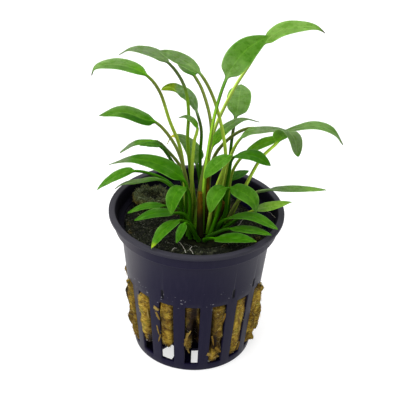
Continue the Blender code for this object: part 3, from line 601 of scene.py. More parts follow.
class Recipe(Tree):
    """A Geometry Nodes tree with named inputs, which makes plain mesh pieces."""

    def __init__(self, name, **kinds):
        tree = bpy.data.node_groups.new(name, "GeometryNodeTree")
        super().__init__(tree)
        self.identifiers = {}
        kinds = {"Geometry": ["Geometry"], **kinds, "Material": ["Finish"]}
        for kind, labels in kinds.items():
            for label in labels:
                made = tree.interface.new_socket(label, in_out="INPUT", socket_type="NodeSocket" + kind)
                self.identifiers[label] = made.identifier
        tree.interface.new_socket("Geometry", in_out="OUTPUT", socket_type="NodeSocketGeometry")
        self.given = tree.nodes.new("NodeGroupInput")
        self.result = tree.nodes.new("NodeGroupOutput")

    def size(self, label):
        return Wire(self, self.given.outputs[label])

    def here(self):
        return self.node("GeometryNodeInputPosition")

    def read(self, name, kind="FLOAT"):
        return self.node("GeometryNodeInputNamedAttribute", {"data_type": kind}, {"Name": name})

    def store(self, geometry, name, value, kind="FLOAT", domain="POINT"):
        return self.node("GeometryNodeStoreNamedAttribute", {"data_type": kind, "domain": domain},
                         {"Geometry": geometry, "Name": name, "Value": value})

    def move(self, geometry, position, selection=True):
        return self.node("GeometryNodeSetPosition", None, {
            "Geometry": geometry, "Position": position, "Selection": selection})

    def flip(self, mesh):
        return self.node("GeometryNodeFlipFaces", None, {"Mesh": mesh})

    def merge(self, geometry, distance):
        return self.node("GeometryNodeMergeByDistance", None, {
            "Geometry": geometry, "Distance": distance * MM})

    def line(self):
        """The line that the tree was given, as a curve."""
        return self.node("GeometryNodeMeshToCurve", None, {"Mesh": self.size("Geometry")})

    def circle(self, points, radius=1.0):
        return self.node("GeometryNodeCurvePrimitiveCircle", None, {
            "Resolution": points, "Radius": radius})

    def swept(self, curve, profile, scale=1.0, caps=True):
        """Carry a profile along a curve."""
        return self.node("GeometryNodeCurveToMesh", None, {
            "Curve": curve, "Profile Curve": profile, "Scale": scale, "Fill Caps": caps})

    def random(self, low, high, seed):
        """A random number, or a random vector if the limits are vectors."""
        is_vector = isinstance(low, tuple)
        return self.node("FunctionNodeRandomValue", {"data_type": "FLOAT_VECTOR" if is_vector else "FLOAT"},
                         {"Min": low, "Max": high, "Seed": seed}, 0 if is_vector else 1)

    def scattered(self, selection=True):
        """Points strewn over the surface that the tree was given."""
        return self.node("GeometryNodeDistributePointsOnFaces", {"distribute_method": "RANDOM"}, {
            "Mesh": self.size("Geometry"), "Selection": selection,
            "Density": self.size("Density"), "Seed": self.size("Seed")})

    def repeated(self, points, piece, turn, scale):
        """Put a copy of a piece at each point."""
        return self.node("GeometryNodeInstanceOnPoints", None, {
            "Points": points, "Instance": piece, "Rotation": turn, "Scale": scale})

    def shaded(self, instances, seed):
        """Give each instance a shade of its own."""
        return self.store(instances, "shade", self.random(0.0, 1.0, seed), domain="INSTANCE")

    def close(self, geometry):
        """End the tree: instances become real, and the finish is set."""
        smooth = self.node("GeometryNodeSetShadeSmooth", None, {"Geometry": geometry})
        real = self.node("GeometryNodeRealizeInstances", None, {"Geometry": smooth})
        coated = self.node("GeometryNodeSetMaterial", None, {
            "Geometry": real, "Material": self.size("Finish")})
        self.feed(self.result.inputs[0], coated)

    def make(self, name, base, finish, values):
        """Run the tree on a mesh and return the piece that it makes."""
        carrier = add_object(name + "_base", base)
        modifier = carrier.modifiers.new(name, "NODES")
        modifier.node_group = self.tree
        for label, value in {**values, "Finish": finish}.items():
            modifier[self.identifiers[label]] = value
        mesh = settled_mesh(carrier)
        carrier.modifiers.remove(modifier)
        bpy.data.objects.remove(carrier)
        return add_object(name, mesh)


def add_object(name, data):
    made = bpy.data.objects.new(name, data)
    scene.collection.objects.link(made)
    return made


def settled_mesh(piece):
    """Return a plain mesh of the piece as its modifiers leave it."""
    evaluated = piece.evaluated_get(bpy.context.evaluated_depsgraph_get())
    return bpy.data.meshes.new_from_object(evaluated)


def mesh_of(name, points, edges, faces, values=None):
    """Make a mesh from points in millimetres, with named values at the points."""
    mesh = bpy.data.meshes.new(name)
    mesh.from_pydata([Vector(point) * MM for point in points], edges, faces)
    for label, rows in (values or {}).items():
        is_vector = isinstance(rows[0], Vector)
        layer = mesh.attributes.new(label, "FLOAT_VECTOR" if is_vector else "FLOAT", "POINT")
        for item, row in zip(layer.data, rows):
            setattr(item, "vector" if is_vector else "value", row)
    return mesh


def line_of(name, points, values=None):
    """Make a mesh of one line of edges through the points."""
    edges = [(start, start + 1) for start in range(len(points) - 1)]
    return mesh_of(name, points, edges, [], values)


def ringed_mesh(name, rings):
    """Make a closed mesh from rings of spots. A spot is its place and how damp it is, which in hollows also
    holds painted shade.
    """
    count = len(rings[0])
    last = (len(rings) - 1) * count
    faces = []
    for low in range(0, last, count):
        high = low + count
        for spot in range(count):
            after = (spot + 1) % count
            faces.append((low + spot, low + after, high + after, high + spot))
    faces.append(tuple(reversed(range(count))))
    faces.append(tuple(range(last, last + count)))
    spots = [spot for ring in rings for spot in ring]
    mesh = mesh_of(name, [place for place, _ in spots], [], faces, {"damp": [damp for _, damp in spots]})
    mesh.shade_smooth()
    return mesh


def dress(piece, slot, *nodes):
    """Let a piece ride on the one body and stand for its CAD nodes."""
    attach(piece, "root")
    if nodes:
        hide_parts(*nodes)


def on_circle(radius, bearing, height):
    angle = math.radians(bearing)
    return Vector((radius * math.sin(angle), -radius * math.cos(angle), height))


def ease(value):
    """Smooth step from 0 to 1."""
    held = min(max(value, 0.0), 1.0)
    return held * held * (3 - 2 * held)


def turn_from(middle, bearing):
    """Return the turn from one bearing to another, between -180 and 180."""
    return (bearing - middle + 180) % 360 - 180


def inside_arc(bearing, arc):
    """Return how many degrees a bearing lies inside an arc, less than 0 outside it."""
    middle, reach = arc
    return reach - abs(turn_from(middle, bearing))


def smooth_route(points, steps=12):
    """Return close places on a centripetal curve through the points, and each point's index."""
    ends = [2 * points[0] - points[1], *points, 2 * points[-1] - points[-2]]
    places = []
    marks = []
    for before, start, end, after in zip(ends, ends[1:], ends[2:], ends[3:]):
        knot_1 = (start - before).length ** 0.5
        knot_2 = knot_1 + (end - start).length ** 0.5
        knot_3 = knot_2 + (after - end).length ** 0.5
        marks.append(len(places))
        for step in range(steps):
            at = knot_1 + (knot_2 - knot_1) * step / steps
            first = before.lerp(start, at / knot_1)
            second = start.lerp(end, (at - knot_1) / (knot_2 - knot_1))
            third = end.lerp(after, (at - knot_2) / (knot_3 - knot_2))
            left = first.lerp(second, at / knot_2)
            right = second.lerp(third, (at - knot_1) / (knot_3 - knot_1))
            places.append(left.lerp(right, (at - knot_1) / (knot_2 - knot_1)))
    marks.append(len(places))
    places.append(points[-1].copy())
    return places, marks


def distances(places):
    """Return the length along the route at each place."""
    run = [0.0]
    for start, end in zip(places, places[1:]):
        run.append(run[-1] + (end - start).length)
    return run


def place_at(places, run, distance):
    """Return the place at a distance along the route."""
    index = 0
    while index < len(run) - 2 and run[index + 1] < distance:
        index += 1
    share = (distance - run[index]) / (run[index + 1] - run[index])
    return places[index].lerp(places[index + 1], share)


class Finish(Tree):
    """A procedural finish: its node tree ends in one Principled shader."""

    def __init__(self, name, shine, **constants):
        self.material = bpy.data.materials.new(name)
        self.material.use_nodes = True
        super().__init__(self.material.node_tree)
        self.shader = self.tree.nodes["Principled BSDF"]
        self.set("Specular IOR Level", shine)
        for label, value in constants.items():
            self.set(label, value)

    def set(self, label, value):
        self.feed(self.shader.inputs[label], value)

    def place(self):
        """Object coordinates, in millimetres."""
        here = self.node("ShaderNodeTexCoord", output="Object")
        return self.vector("SCALE", here, scale=1 / MM)

    def read(self, name, output="Fac"):
        return self.node("ShaderNodeAttribute", {"attribute_name": name}, None, output)

    def browned_below(self, colour, height, top):
        """Turn a colour brown below the height top."""
        low = 1.0 - self.smooth(height, top - 1.2, top + 0.4)
        return self.tinted(low * 0.85, colour, (1.35, 0.9, 0.25))

    def bump(self, height, strength, distance):
        self.set("Normal", self.node("ShaderNodeBump", None, {
            "Strength": strength, "Distance": distance * MM, "Height": height}))


def leaf_finish():
    """Living leaf: waxy, with a pale midrib, fine veins that run to the tip and soft mottling; its stalks
    have painted shade along their sides and a painted highlight down the middle.
    """
    finish = Finish("leaf_skin", 0.03)
    across, along, face = finish.parts(finish.read("grain", "Vector"))
    place = finish.place()
    on_blade = finish.smooth(along, 0.02, 0.15)
    on_stalk = 1.0 - on_blade
    mottle = finish.noise(place, 0.55, 3.0, 0.6)
    fine = finish.noise(place, 4.0, 2.0, 0.6)
    colour = finish.vector("SCALE", finish.read("tint", "Color"), scale=0.62 + mottle * 0.4 + fine * 0.2)
    drift = finish.vector("ADD", finish.combine(across * 1.3, along * 6.0, 0.0),
                          finish.vector("SCALE", place, scale=0.06))
    patch = finish.smooth(finish.noise(drift, 1.3, 4.0, 0.7), 0.48, 0.60) * on_blade
    colour = finish.tinted(patch * 0.55, colour, (0.45, 0.68, 0.08))
    pale = finish.smooth(finish.noise(drift, 0.9, 2.0, 0.5).other(1), 0.5, 0.7) * on_blade
    colour = finish.tinted(pale * 0.65, colour, 1.15, (0.035, 0.045, 0.016))
    # Painted shade along the sides of each stalk and a painted highlight down its middle, as on a lit round
    # stalk
    edge = finish.smooth(abs(across), 0.5, 1.0) * on_stalk
    colour = finish.tinted(edge * 0.6, colour, (0.45, 0.45, 0.4))
    lit = (1.0 - finish.smooth(abs(across + 0.15), 0.15, 0.7)) * on_stalk
    colour = finish.tinted(lit * 0.8, colour, 1.6)
    veins = finish.noise(finish.combine(across * 9.0, along * 0.8, 0.0), 1.6, 2.0, 0.5)
    vein_mark = finish.smooth(veins, 0.52, 0.66) * on_blade
    colour = finish.tinted(vein_mark * 0.35, colour, 0.72)
    rib = (1.0 - finish.smooth(abs(across), 0.0, 0.09)) * on_blade
    colour = finish.tinted(rib * 0.6, colour, 1.15, (0.02, 0.04, 0.002))
    margin = finish.smooth(abs(across), 0.84, 0.98) * on_blade
    colour = finish.tinted(margin * 0.75, colour, 1.25, (0.06, 0.08, 0.030))
    under = finish.smooth(-face, 0.0, 0.4) * on_blade
    colour = finish.tinted(under * 0.7, colour, 0.9, (0.02, 0.03, 0.008))
    specks = finish.smooth(finish.noise(place, 2.3, 1.0, 0.4), 0.70, 0.76) * on_blade
    finish.set("Base Color", finish.mix(specks * 0.5, colour, LEAF_SPECK))
    finish.set("Roughness", 0.38 + mottle * 0.12 + under * 0.12)
    finish.bump(veins * 0.7 + fine * 0.3, 0.35, 0.12)
    finish.set("Subsurface Weight", 0.12)
    finish.set("Subsurface Radius", (0.35, 1.0, 0.12))
    finish.set("Subsurface Scale", 0.8 * MM)
    return finish.material


def pot_finish():
    """Near-black violet plastic, satin, hazed and scuffed, greyer along the lip, with a painted sheen down
    its left side and painted shade inside the collar and in the notches.
    """
    finish = Finish("pot_plastic_worn", 0.1)
    place = finish.place()
    x, y, z = finish.parts(place)
    radius, turn = finish.polar(x, y)
    haze = finish.noise(finish.combine(x * 2.2, y * 2.2, z * 0.25), 0.5, 3.0, 0.6)
    grain = finish.noise(place, 3.0, 2.0, 0.6)
    film = finish.smooth(haze + grain * 0.4, 0.55, 1.0)
    colour = finish.mix(film * 0.7, PLASTIC, PLASTIC_HAZED)
    # Painted sheen down the left side, where the wall catches light at a grazing angle
    painted_left_sheen = finish.smooth(-x, 12.0, 24.0) * (0.4 + haze * 0.4)
    colour = finish.mix(painted_left_sheen, colour, PAINTED_LEFT_SHEEN)
    lip = finish.smooth(z, POT_HEIGHT - 1.4, POT_HEIGHT - 0.4)
    colour = finish.mix(lip * 0.8, colour, LIP_GREY)
    # Painted shade on the inside of the collar, which is also made rougher
    inside = finish.smooth(LIP_INNER_RADIUS + 0.1 - radius, 0.0, 0.5)
    inside = inside * finish.smooth(z, COLLAR_BOTTOM + 0.3, COLLAR_BOTTOM + 0.7)
    colour = finish.mix(inside, colour, INSIDE_PAINTED_SHADE)
    # Painted shade in the notches
    pressed = 0.0
    for bearing in NOTCH_BEARINGS:
        pressed = pressed + (1.0 - finish.smooth(abs(turn * 360.0 - bearing), 0.9, 1.5))
    low, high = NOTCH_HEIGHTS
    pressed = pressed * finish.smooth(z, low - 0.7, low + 0.1)
    pressed = pressed * (1.0 - finish.smooth(z, high - 0.4, high + 0.2))
    colour = finish.mix(pressed * 0.9, colour, NOTCH_PAINTED_SHADE)
    flecks = finish.noise(finish.vector("MULTIPLY", place, (1.0, 1.0, 1.6)), 0.75, 2.0, 0.4)
    band = finish.smooth(z, 25.0, 28.0) * (1.0 - finish.smooth(z, 31.0, 34.0))
    colour = finish.mix(finish.smooth(flecks, 0.69, 0.72) * band * 0.6, colour, SCUFF)
    finish.set("Base Color", colour)
    finish.set("Roughness", 0.34 + haze * 0.16 + lip * 0.06 + inside * 0.4)
    finish.bump(grain * 0.6 + haze * 0.4, 0.12, 0.15)
    return finish.material


def wool_finish(name, light, middle, dark, green, brown_below=0.0):
    """Mineral wool: matted fibres, with damp dark places, partly painted shade in hollows, bleached ones and
    some algae.
    """
    finish = Finish(name, 0.15)
    place = finish.place()
    x, y, z = finish.parts(place)
    matted = finish.combine(x * 0.8, y * 0.8, z * 2.0)
    broad = finish.noise(matted, 0.22, 3.0, 0.6)
    patch = finish.noise(matted, 0.9, 3.0, 0.65)
    fine = finish.noise(place, 5.0, 3.0, 0.7)
    damp = finish.read("damp")
    stops = ((0.36, dark), (0.48, middle), (0.60, light), (0.76, [part * 1.6 for part in light]))
    colour = finish.node("ShaderNodeValToRGB", {"stops": stops}, {
        0: patch * 0.65 + fine * 0.45 + broad * 0.45 - 0.27})
    algae = finish.smooth(finish.noise(place, 0.45, 2.0, 0.5), 0.54, 0.66)
    colour = finish.mix(algae * 0.55, colour, green)
    colour = finish.browned_below(colour, z, brown_below)
    soaked = finish.vector("MULTIPLY", colour, (0.060, 0.036, 0.080))
    ground = finish.mix(finish.smooth(patch, 0.45, 0.60), GROUND_DARK, GROUND)
    soaked = finish.mix(finish.smooth(z, *GROUND_FROM), soaked, ground)
    colour = finish.tinted(finish.smooth(-damp, 0.0, 0.5), colour, 1.35, (0.020, 0.026, 0.010))
    finish.set("Base Color", finish.mix(damp, colour, soaked))
    finish.set("Roughness", 0.95 - damp * 0.35)
    finish.bump(patch * 0.5 + fine * 0.5, 1.0, 0.6)
    return finish.material


def fibre_finish(name, dark, light, soaked, pale_wet, brown_below=0.0):
    """Fibres and crumbs: each has its own shade, and where it is damp most are soaked, so they also take on
    the painted shade of the hollows.
    """
    finish = Finish(name, 0.15, Roughness=0.8)
    shade = finish.read("shade")
    damp = finish.read("damp")
    _, _, height = finish.parts(finish.place())
    sunk = finish.mix(finish.smooth(height, *GROUND_FROM), SLOT_FIBRE_SOAKED, soaked)
    wet = finish.mix(finish.smooth(shade, 0.86, 0.94) * 0.8, sunk, pale_wet)
    dry = finish.browned_below(finish.mix(shade * shade, dark, light), height, brown_below)
    dry = finish.tinted(finish.smooth(-damp, 0.0, 0.5), dry, 1.35, (0.04, 0.05, 0.02))
    finish.set("Base Color", finish.mix(finish.smooth(damp, 0.1, 0.8), dry, wet))
    return finish.material


def plain_finish(name, colours, scale, roughness, stretch=(1.0, 1.0, 1.0), dark_to=0.0):
    """A matte natural finish that wavers between two colours, nearly black below a height."""
    finish = Finish(name, 0.1)
    place = finish.place()
    _, _, height = finish.parts(place)
    place = finish.vector("MULTIPLY", place, stretch)
    value = finish.noise(place, scale, 3.0, 0.6)
    fine = finish.noise(place, scale * 5.0, 2.0, 0.6)
    mixed = finish.mix(finish.smooth(value, 0.35, 0.65), *colours)
    sunk = 1.0 - finish.smooth(height, dark_to - 6.0, dark_to)
    finish.set("Base Color", finish.mix(sunk * 0.9, mixed, ROTTED))
    finish.set("Roughness", roughness + fine * 0.1)
    finish.bump(value * 0.5 + fine * 0.5, 0.5, 0.15)
    return finish.material


def leaf_frame(tree, stalk, blade):
    """Return the leaf's line, whose points know their place and the ways across and up."""
    line = tree.line()
    tangent = tree.node("GeometryNodeInputTangent")
    collar_roll = tree.size("Collar Roll")
    roll = collar_roll * (1.0 - stalk) + (tree.size("Tip Roll") - collar_roll) * blade
    side = tree.size("Side")
    lean = tree.vector("DOT_PRODUCT", side, tangent, output=1)
    level = tree.vector("NORMALIZE", tree.vector(
        "SUBTRACT", side, tree.vector("SCALE", tangent, scale=lean)))
    across = tree.node("ShaderNodeVectorRotate", {"rotation_type": "AXIS_ANGLE"}, {
        "Vector": level, "Axis": tangent, "Angle": roll})
    line = tree.store(line, "centre", tree.here(), "FLOAT_VECTOR")
    line = tree.store(line, "across", across, "FLOAT_VECTOR")
    return tree.store(line, "up", tree.vector("CROSS_PRODUCT", tangent, across), "FLOAT_VECTOR")


def leaf_section(tree, along, stalk, blade, spread, face):
    """Return how far across and up the skin stands off the leaf's line."""
    height = face * tree.maths("SQRT", tree.maths("MAXIMUM", 1.0 - spread * spread, 0.0))
    upper = tree.maths("MAXIMUM", face, 0.0)
    lower = tree.maths("MAXIMUM", -face, 0.0)
    opened = tree.smooth(along, -0.06, BLADE_OPENED)
    narrowed = tree.smooth(blade, 0.0, BLADE_NARROWED)
    fullest = tree.size("Fullest")
    rise = fullest * BLADE_CURVE
    outline = (blade / fullest) ** rise * (
        tree.maths("MAXIMUM", 1.0 - blade, 0.0) / (1.0 - fullest)) ** (BLADE_CURVE - rise)
    round_half = NECK_RADIUS * MM + stalk * stalk * ((FOOT_RADIUS - NECK_RADIUS) * MM)
    half = round_half + (tree.size("Width") * 0.5 * outline - round_half) * narrowed

    curl = tree.size("Curl") * tree.smooth(blade, 0.55, 0.9) + 0.001
    bend = curl * spread
    bend_sine = tree.maths("SINE", bend)
    bend_cosine = tree.maths("COSINE", bend)
    reach = abs(half * spread)
    groove = upper * (GROOVE_DEPTH * MM) * (1.0 - tree.smooth(reach, 0.0, GROOVE_WIDTH * MM))
    ridge_left = 1.0 - blade * 0.75
    ridge = lower * ridge_left * (RIDGE_HEIGHT * MM) * (
        1.0 - tree.smooth(reach, 0.0, ridge_left * (RIDGE_WIDTH * MM)))
    depth = height * (BLADE_THICKNESS * 0.5 * MM) - groove - ridge
    ripple_place = tree.combine(blade * 5.0, tree.maths("SIGN", spread) * 3.0, tree.size("Seed"))
    ripple = (tree.noise(ripple_place, 1.0, 1.0) - 0.5) * (2.0 * WAVE * MM) * spread * spread
    fold = half * FOLD * abs(spread) ** FOLD_POWER
    flat_x = half * bend_sine / curl - depth * bend_sine
    flat_y = half * (1.0 - bend_cosine) / curl + depth * bend_cosine + fold + ripple
    offset_x = half * spread * (1.0 - opened) + flat_x * opened
    offset_y = round_half * height * (1.0 - opened) + flat_y * opened
    return offset_x, offset_y


def leaf_tint(tree, along, stalk, spread):
    """Colour of a leaf from foot to tip, with painted shade on the half that faces the camera,
    a painted grey sheen toward the far margin and painted shade low on the stalks.
    """
    tip_from = tree.size("Tip From")
    colour = tree.size("Foot Colour")
    for label, share in (("Stalk Colour", tree.smooth(stalk, 0.97, 0.72)),
                         ("Neck Colour", tree.smooth(stalk, 0.24, 0.10)),
                         ("Base Colour", tree.smooth(along, -0.06, 0.08)),
                         ("Blade Colour", tree.smooth(along, 0.15, 0.5)),
                         ("Tip Colour", tree.smooth(along, tip_from, tip_from + 0.1))):
        colour = tree.mix(share, colour, tree.size(label))
    # Painted shade on the half of the blade that faces the camera, as if light falls from above, and a
    # painted grey sheen toward the far margin
    near_side = spread * tree.size("Near Side")
    shading = tree.size("Painted Near Shade") * tree.smooth(along, 0.0, 0.12)
    near = tree.smooth(near_side, 0.0, 0.3) * tree.smooth(along, 0.85, 0.45) * shading
    colour = tree.tinted(near, colour, (0.30, 0.55, 0.02))
    far = tree.smooth(near_side, -0.3, -1.0) * shading
    colour = tree.tinted(far, colour, 0.75, (0.085, 0.100, 0.062))
    # Painted shade on the stalks low down among the crowded leaf feet
    _, _, height = tree.parts(tree.read("centre", "FLOAT_VECTOR"))
    sunk = tree.smooth(height, 51.5 * MM, 44.5 * MM) * tree.smooth(along, 0.0, -0.1)
    return tree.tinted(sunk, colour, (0.60, 0.72, 0.5))


def leaf_recipe():
    """A leaf along a line of points: a round stalk that opens into a folded blade.

    Each point knows how far along it is, from -1 at the foot over 0 at the collar to 1 at
    the tip.
    """
    tree = Recipe("leaf", Vector=["Side"], Float=[
        "Width", "Fullest", "Collar Roll", "Tip Roll", "Curl", "Tip From", "Painted Near Shade", "Near Side",
        "Seed"], Color=LEAF_COLOURS)
    along = tree.read("along")
    blade = tree.maths("MAXIMUM", along, 0.0)
    stalk = tree.maths("MAXIMUM", -along, 0.0)
    line = leaf_frame(tree, stalk, blade)
    index = tree.node("GeometryNodeInputIndex")
    ring = tree.store(tree.circle(LEAF_SIDES), "around", index * (TURN / LEAF_SIDES))
    skin = tree.swept(line, ring)
    around = tree.read("around")
    swing = tree.maths("COSINE", around)
    spread = tree.maths("SIGN", swing) * abs(swing) ** FOLD_POWER
    face = tree.maths("SIGN", tree.maths("SINE", around))
    offset_x, offset_y = leaf_section(tree, along, stalk, blade, spread, face)
    position = tree.vector("ADD", tree.read("centre", "FLOAT_VECTOR"), tree.vector(
        "ADD", tree.vector("SCALE", tree.read("across", "FLOAT_VECTOR"), scale=offset_x),
        tree.vector("SCALE", tree.read("up", "FLOAT_VECTOR"), scale=offset_y)))
    skin = tree.store(skin, "grain", tree.combine(spread, along, face), "FLOAT_VECTOR")
    skin = tree.store(skin, "tint", leaf_tint(tree, along, stalk, spread), "FLOAT_COLOR")
    skin = tree.merge(tree.move(skin, position), 0.012)
    tree.close(tree.flip(skin))
    return tree


def leaf_line(name, leaf):
    """Return the line that a leaf follows, with a point for each ring, and its sideways."""
    foot = Vector((*leaf.foot, CROWN_TOP + FOOT_GAP))
    lean = (Vector(leaf.stalk[0]) - foot).normalized().xy.length
    foot.z += FOOT_RADIUS * lean
    route = [foot, *(Vector(point) for point in leaf.stalk + leaf.blade)]
    neck = len(leaf.stalk) + 1
    places, marks = smooth_route(route)
    run = distances(places)
    collar = run[marks[neck]]
    length = run[-1] - collar
    stalk_rings = math.ceil(collar / STALK_STEP)
    rings = [(collar * step / stalk_rings, step / stalk_rings - 1) for step in range(stalk_rings)]
    for step in range(BLADE_RINGS + 1):
        even = step / BLADE_RINGS
        share = (even + (1 - math.cos(math.pi * even)) / 2) / 2
        rings.append((collar + share * length, share))
    points = [place_at(places, run, distance) for distance, _ in rings]
    reach = route[-1] - route[neck]
    side = Vector((-reach.y, reach.x, 0)).normalized()
    return line_of(name, points, {"along": [share for _, share in rings]}), side


def make_leaves(finish):
    recipe = leaf_recipe()
    for number, (name, leaf) in enumerate(LEAVES.items()):
        line, side = leaf_line(name, leaf)
        collar_roll, tip_roll = leaf.roll
        values = {"Side": side, "Width": leaf.width * MM, "Fullest": leaf.fullest,
                  "Collar Roll": math.radians(collar_roll), "Tip Roll": math.radians(tip_roll),
                  "Curl": math.radians(leaf.curl), "Tip From": leaf.tip_from,
                  "Painted Near Shade": leaf.near, "Near Side": -1.0 if side.y > 0 else 1.0,
                  "Seed": number * RIPPLE_SEED_STEP}
        for label, colour in zip(LEAF_COLOURS, LOOKS[leaf.look]):
            values[label] = (*colour, 1.0)
        piece = recipe.make(name + "_leaf", line, finish, values)
        dress(piece, "leaf_" + leaf.colour, "leaf_" + name)


def strand_recipe():
    """A tapered round strand along a line of points, with a rough surface."""
    tree = Recipe("strand", Float=["Start Radius", "End Radius", "Roughness", "Scale"])
    share = tree.node("GeometryNodeSplineParameter")
    start = tree.size("Start Radius")
    skin = tree.swept(tree.line(), tree.circle(12), start + (tree.size("End Radius") - start) * share)
    here = tree.here()
    wander = tree.vector("SUBTRACT", tree.noise(here, tree.size("Scale"), 3.0).other(1), HALVES)
    moved = tree.vector("ADD", here, tree.vector("SCALE", wander, scale=tree.size("Roughness")))
    tree.close(tree.move(skin, moved))
    return tree


def make_strands(sheath, root):
    """Dead sheaths and fine white roots."""
    recipe = strand_recipe()
    for ending, slot, routes, steps, finish, radii, roughness, scale in (
            ("_sheath", "dead_sheath", SHEATHS, 16, sheath, SHEATH_RADII, 0.7, 900.0),
            ("_root", "root", ROOTS, 14, root, ROOT_RADII, 0.5, 600.0)):
        start_radius, end_radius = radii
        for name, route in routes.items():
            places, _ = smooth_route([Vector(point) for point in route], steps)
            piece = recipe.make(name + ending, line_of(name, places), finish, {
                "Start Radius": start_radius * MM, "End Radius": end_radius * MM,
                "Roughness": roughness * MM, "Scale": scale})
            dress(piece, slot, slot + "_" + name)


def body_radius(height):
    """Outer radius of the pot's wall below the collar."""
    return BODY_BASE_RADIUS + BODY_TAPER * height


def pot_profile():
    """Return the line of the pot's outer skin, whose points also know the inner skin."""
    low, high = NOTCH_HEIGHTS
    wall_rows = (SLOT_BOTTOM, SLOT_TOP, low, low + 0.5, (low + high) / 2, high - 0.5, high)
    inner_opening, outer_opening = FLOOR_OPENING_RADII
    lip_bottom = POT_HEIGHT - LIP_THICKNESS
    collar_floor = COLLAR_BOTTOM + WALL
    outer = [(0, 0), (inner_opening, 0), (outer_opening, 0), (BODY_BASE_RADIUS - FOOT_CHAMFER, 0),
             (body_radius(FOOT_CHAMFER), FOOT_CHAMFER),
             *((body_radius(row), row) for row in wall_rows),
             (body_radius(COLLAR_BOTTOM), COLLAR_BOTTOM), (COLLAR_RADIUS, COLLAR_BOTTOM),
             (COLLAR_RADIUS, lip_bottom), (LIP_RADIUS, lip_bottom), (LIP_RADIUS, POT_HEIGHT)]
    inner = [(0, FLOOR), (inner_opening, FLOOR), (outer_opening, FLOOR),
             (BODY_BASE_RADIUS - WALL - FOOT_CHAMFER, FLOOR),
             (body_radius(FLOOR) - WALL, FLOOR + FOOT_CHAMFER),
             *((body_radius(row) - WALL, row) for row in wall_rows),
             (body_radius(COLLAR_BOTTOM) - WALL, collar_floor), (COLLAR_RADIUS - WALL, collar_floor),
             (COLLAR_RADIUS - WALL, POT_HEIGHT - LIP_INSIDE_DEPTH),
             (LIP_INNER_RADIUS - LIP_BEVEL, POT_HEIGHT - 0.7), (LIP_INNER_RADIUS, POT_HEIGHT)]
    rows = {name: [Vector((radius, 0, height)) * MM for radius, height in skin]
            for name, skin in (("outer", outer), ("inner", inner))}
    return line_of("pot_profile", [(radius, 0, height) for radius, height in outer], rows)


def pot_recipe():
    """A turned net pot: skin turned from a profile, slots left out, inner skin joined on."""
    tree = Recipe("net_pot", Int=["Columns", "Slots", "Floor Openings"], Float=[
        "Slot Width", "Slot Bottom", "Slot Top", "Floor Opening Width", "Floor Opening Inner",
        "Floor Opening Outer", "Notch Low", "Notch High", "Notch Depth"])
    here = tree.here()
    circle = tree.store(tree.circle(tree.size("Columns")), "direction", here, "FLOAT_VECTOR")
    direction = tree.read("direction", "FLOAT_VECTOR")

    def turned(name):
        radius, _, height = tree.parts(tree.read(name, "FLOAT_VECTOR"))
        return tree.vector("ADD", tree.vector("SCALE", direction, scale=radius),
                           tree.combine(0.0, 0.0, height))

    skin = tree.move(tree.swept(circle, tree.line(), caps=False), turned("outer"))
    x, y, z = tree.parts(here)
    radius, turn = tree.polar(x, y)
    slot_share = tree.maths("FRACT", turn * tree.size("Slots") + 0.5) - 0.5
    in_slot = (abs(slot_share) < tree.size("Slot Width") * tree.size("Slots") / 2.0) * (
        z > tree.size("Slot Bottom")) * (z < tree.size("Slot Top"))
    floor_share = tree.maths("FRACT", turn * tree.size("Floor Openings"))
    in_floor = (floor_share < tree.size("Floor Opening Width") * tree.size("Floor Openings")) * (
        radius > tree.size("Floor Opening Inner")) * (radius < tree.size("Floor Opening Outer")) * (
        z < 0.1 * MM)
    skin = tree.node("GeometryNodeDeleteGeometry", {"domain": "FACE", "mode": "ALL"}, {
        "Geometry": skin, "Selection": tree.maths("MAXIMUM", in_slot, in_floor)})
    extruded = tree.node("GeometryNodeExtrudeMesh", {"mode": "FACES"}, {
        "Mesh": skin, "Offset Scale": 0.0, "Individual": False})
    lining = tree.flip(tree.move(extruded, turned("inner"), extruded.other("Top")))
    notch = 0.0
    for bearing in NOTCH_BEARINGS:
        notch = notch + (abs(turn * 360.0 - bearing) < NOTCH_HALF_WIDTH)
    notch = notch * (z > tree.size("Notch Low")) * (z < tree.size("Notch High"))
    pressed = tree.vector("ADD", here, tree.vector(
        "SCALE", direction, scale=-notch * tree.size("Notch Depth")))
    shell = tree.node("GeometryNodeJoinGeometry", None, {"Geometry": [tree.move(skin, pressed), lining]})
    tree.close(tree.merge(shell, 0.002))
    return tree


def make_pot(finish):
    """Net pot with rounded edges round its lip, slots and floor openings."""
    low, high = NOTCH_HEIGHTS
    inner_opening, outer_opening = FLOOR_OPENING_RADII
    pot = pot_recipe().make("net_pot", pot_profile(), finish, {
        "Columns": POT_COLUMNS, "Slots": SLOT_COUNT, "Slot Width": SLOT_WIDTH / 360,
        "Slot Bottom": SLOT_BOTTOM * MM, "Slot Top": SLOT_TOP * MM,
        "Floor Openings": FLOOR_OPENING_COUNT, "Floor Opening Width": FLOOR_OPENING_WIDTH / 360,
        "Floor Opening Inner": inner_opening * MM, "Floor Opening Outer": outer_opening * MM,
        "Notch Low": (low + 0.2) * MM, "Notch High": (high - 0.2) * MM,
        "Notch Depth": NOTCH_DEPTH * MM})
    bevel = pot.modifiers.new("rounded edges", "BEVEL")
    bevel.width = POT_EDGE * MM
    bevel.segments = 2
    bevel.angle_limit = math.radians(35)
    rounded = settled_mesh(pot)
    pot.modifiers.remove(bevel)
    pot.data = rounded
    dress(pot, "pot_plastic", "pot")


def wool_top(bearing):
    """Height of the wool beside the wall: high at the front, sunk at the right."""
    rise = ease(inside_arc(bearing, FRONT_RISE_ARC) / RISE_BLEND) * FRONT_RISE
    drop = ease(inside_arc(bearing, RIGHT_DROP_ARC) / DROP_BLEND) * RIGHT_DROP
    return WOOL_TOP + rise - drop


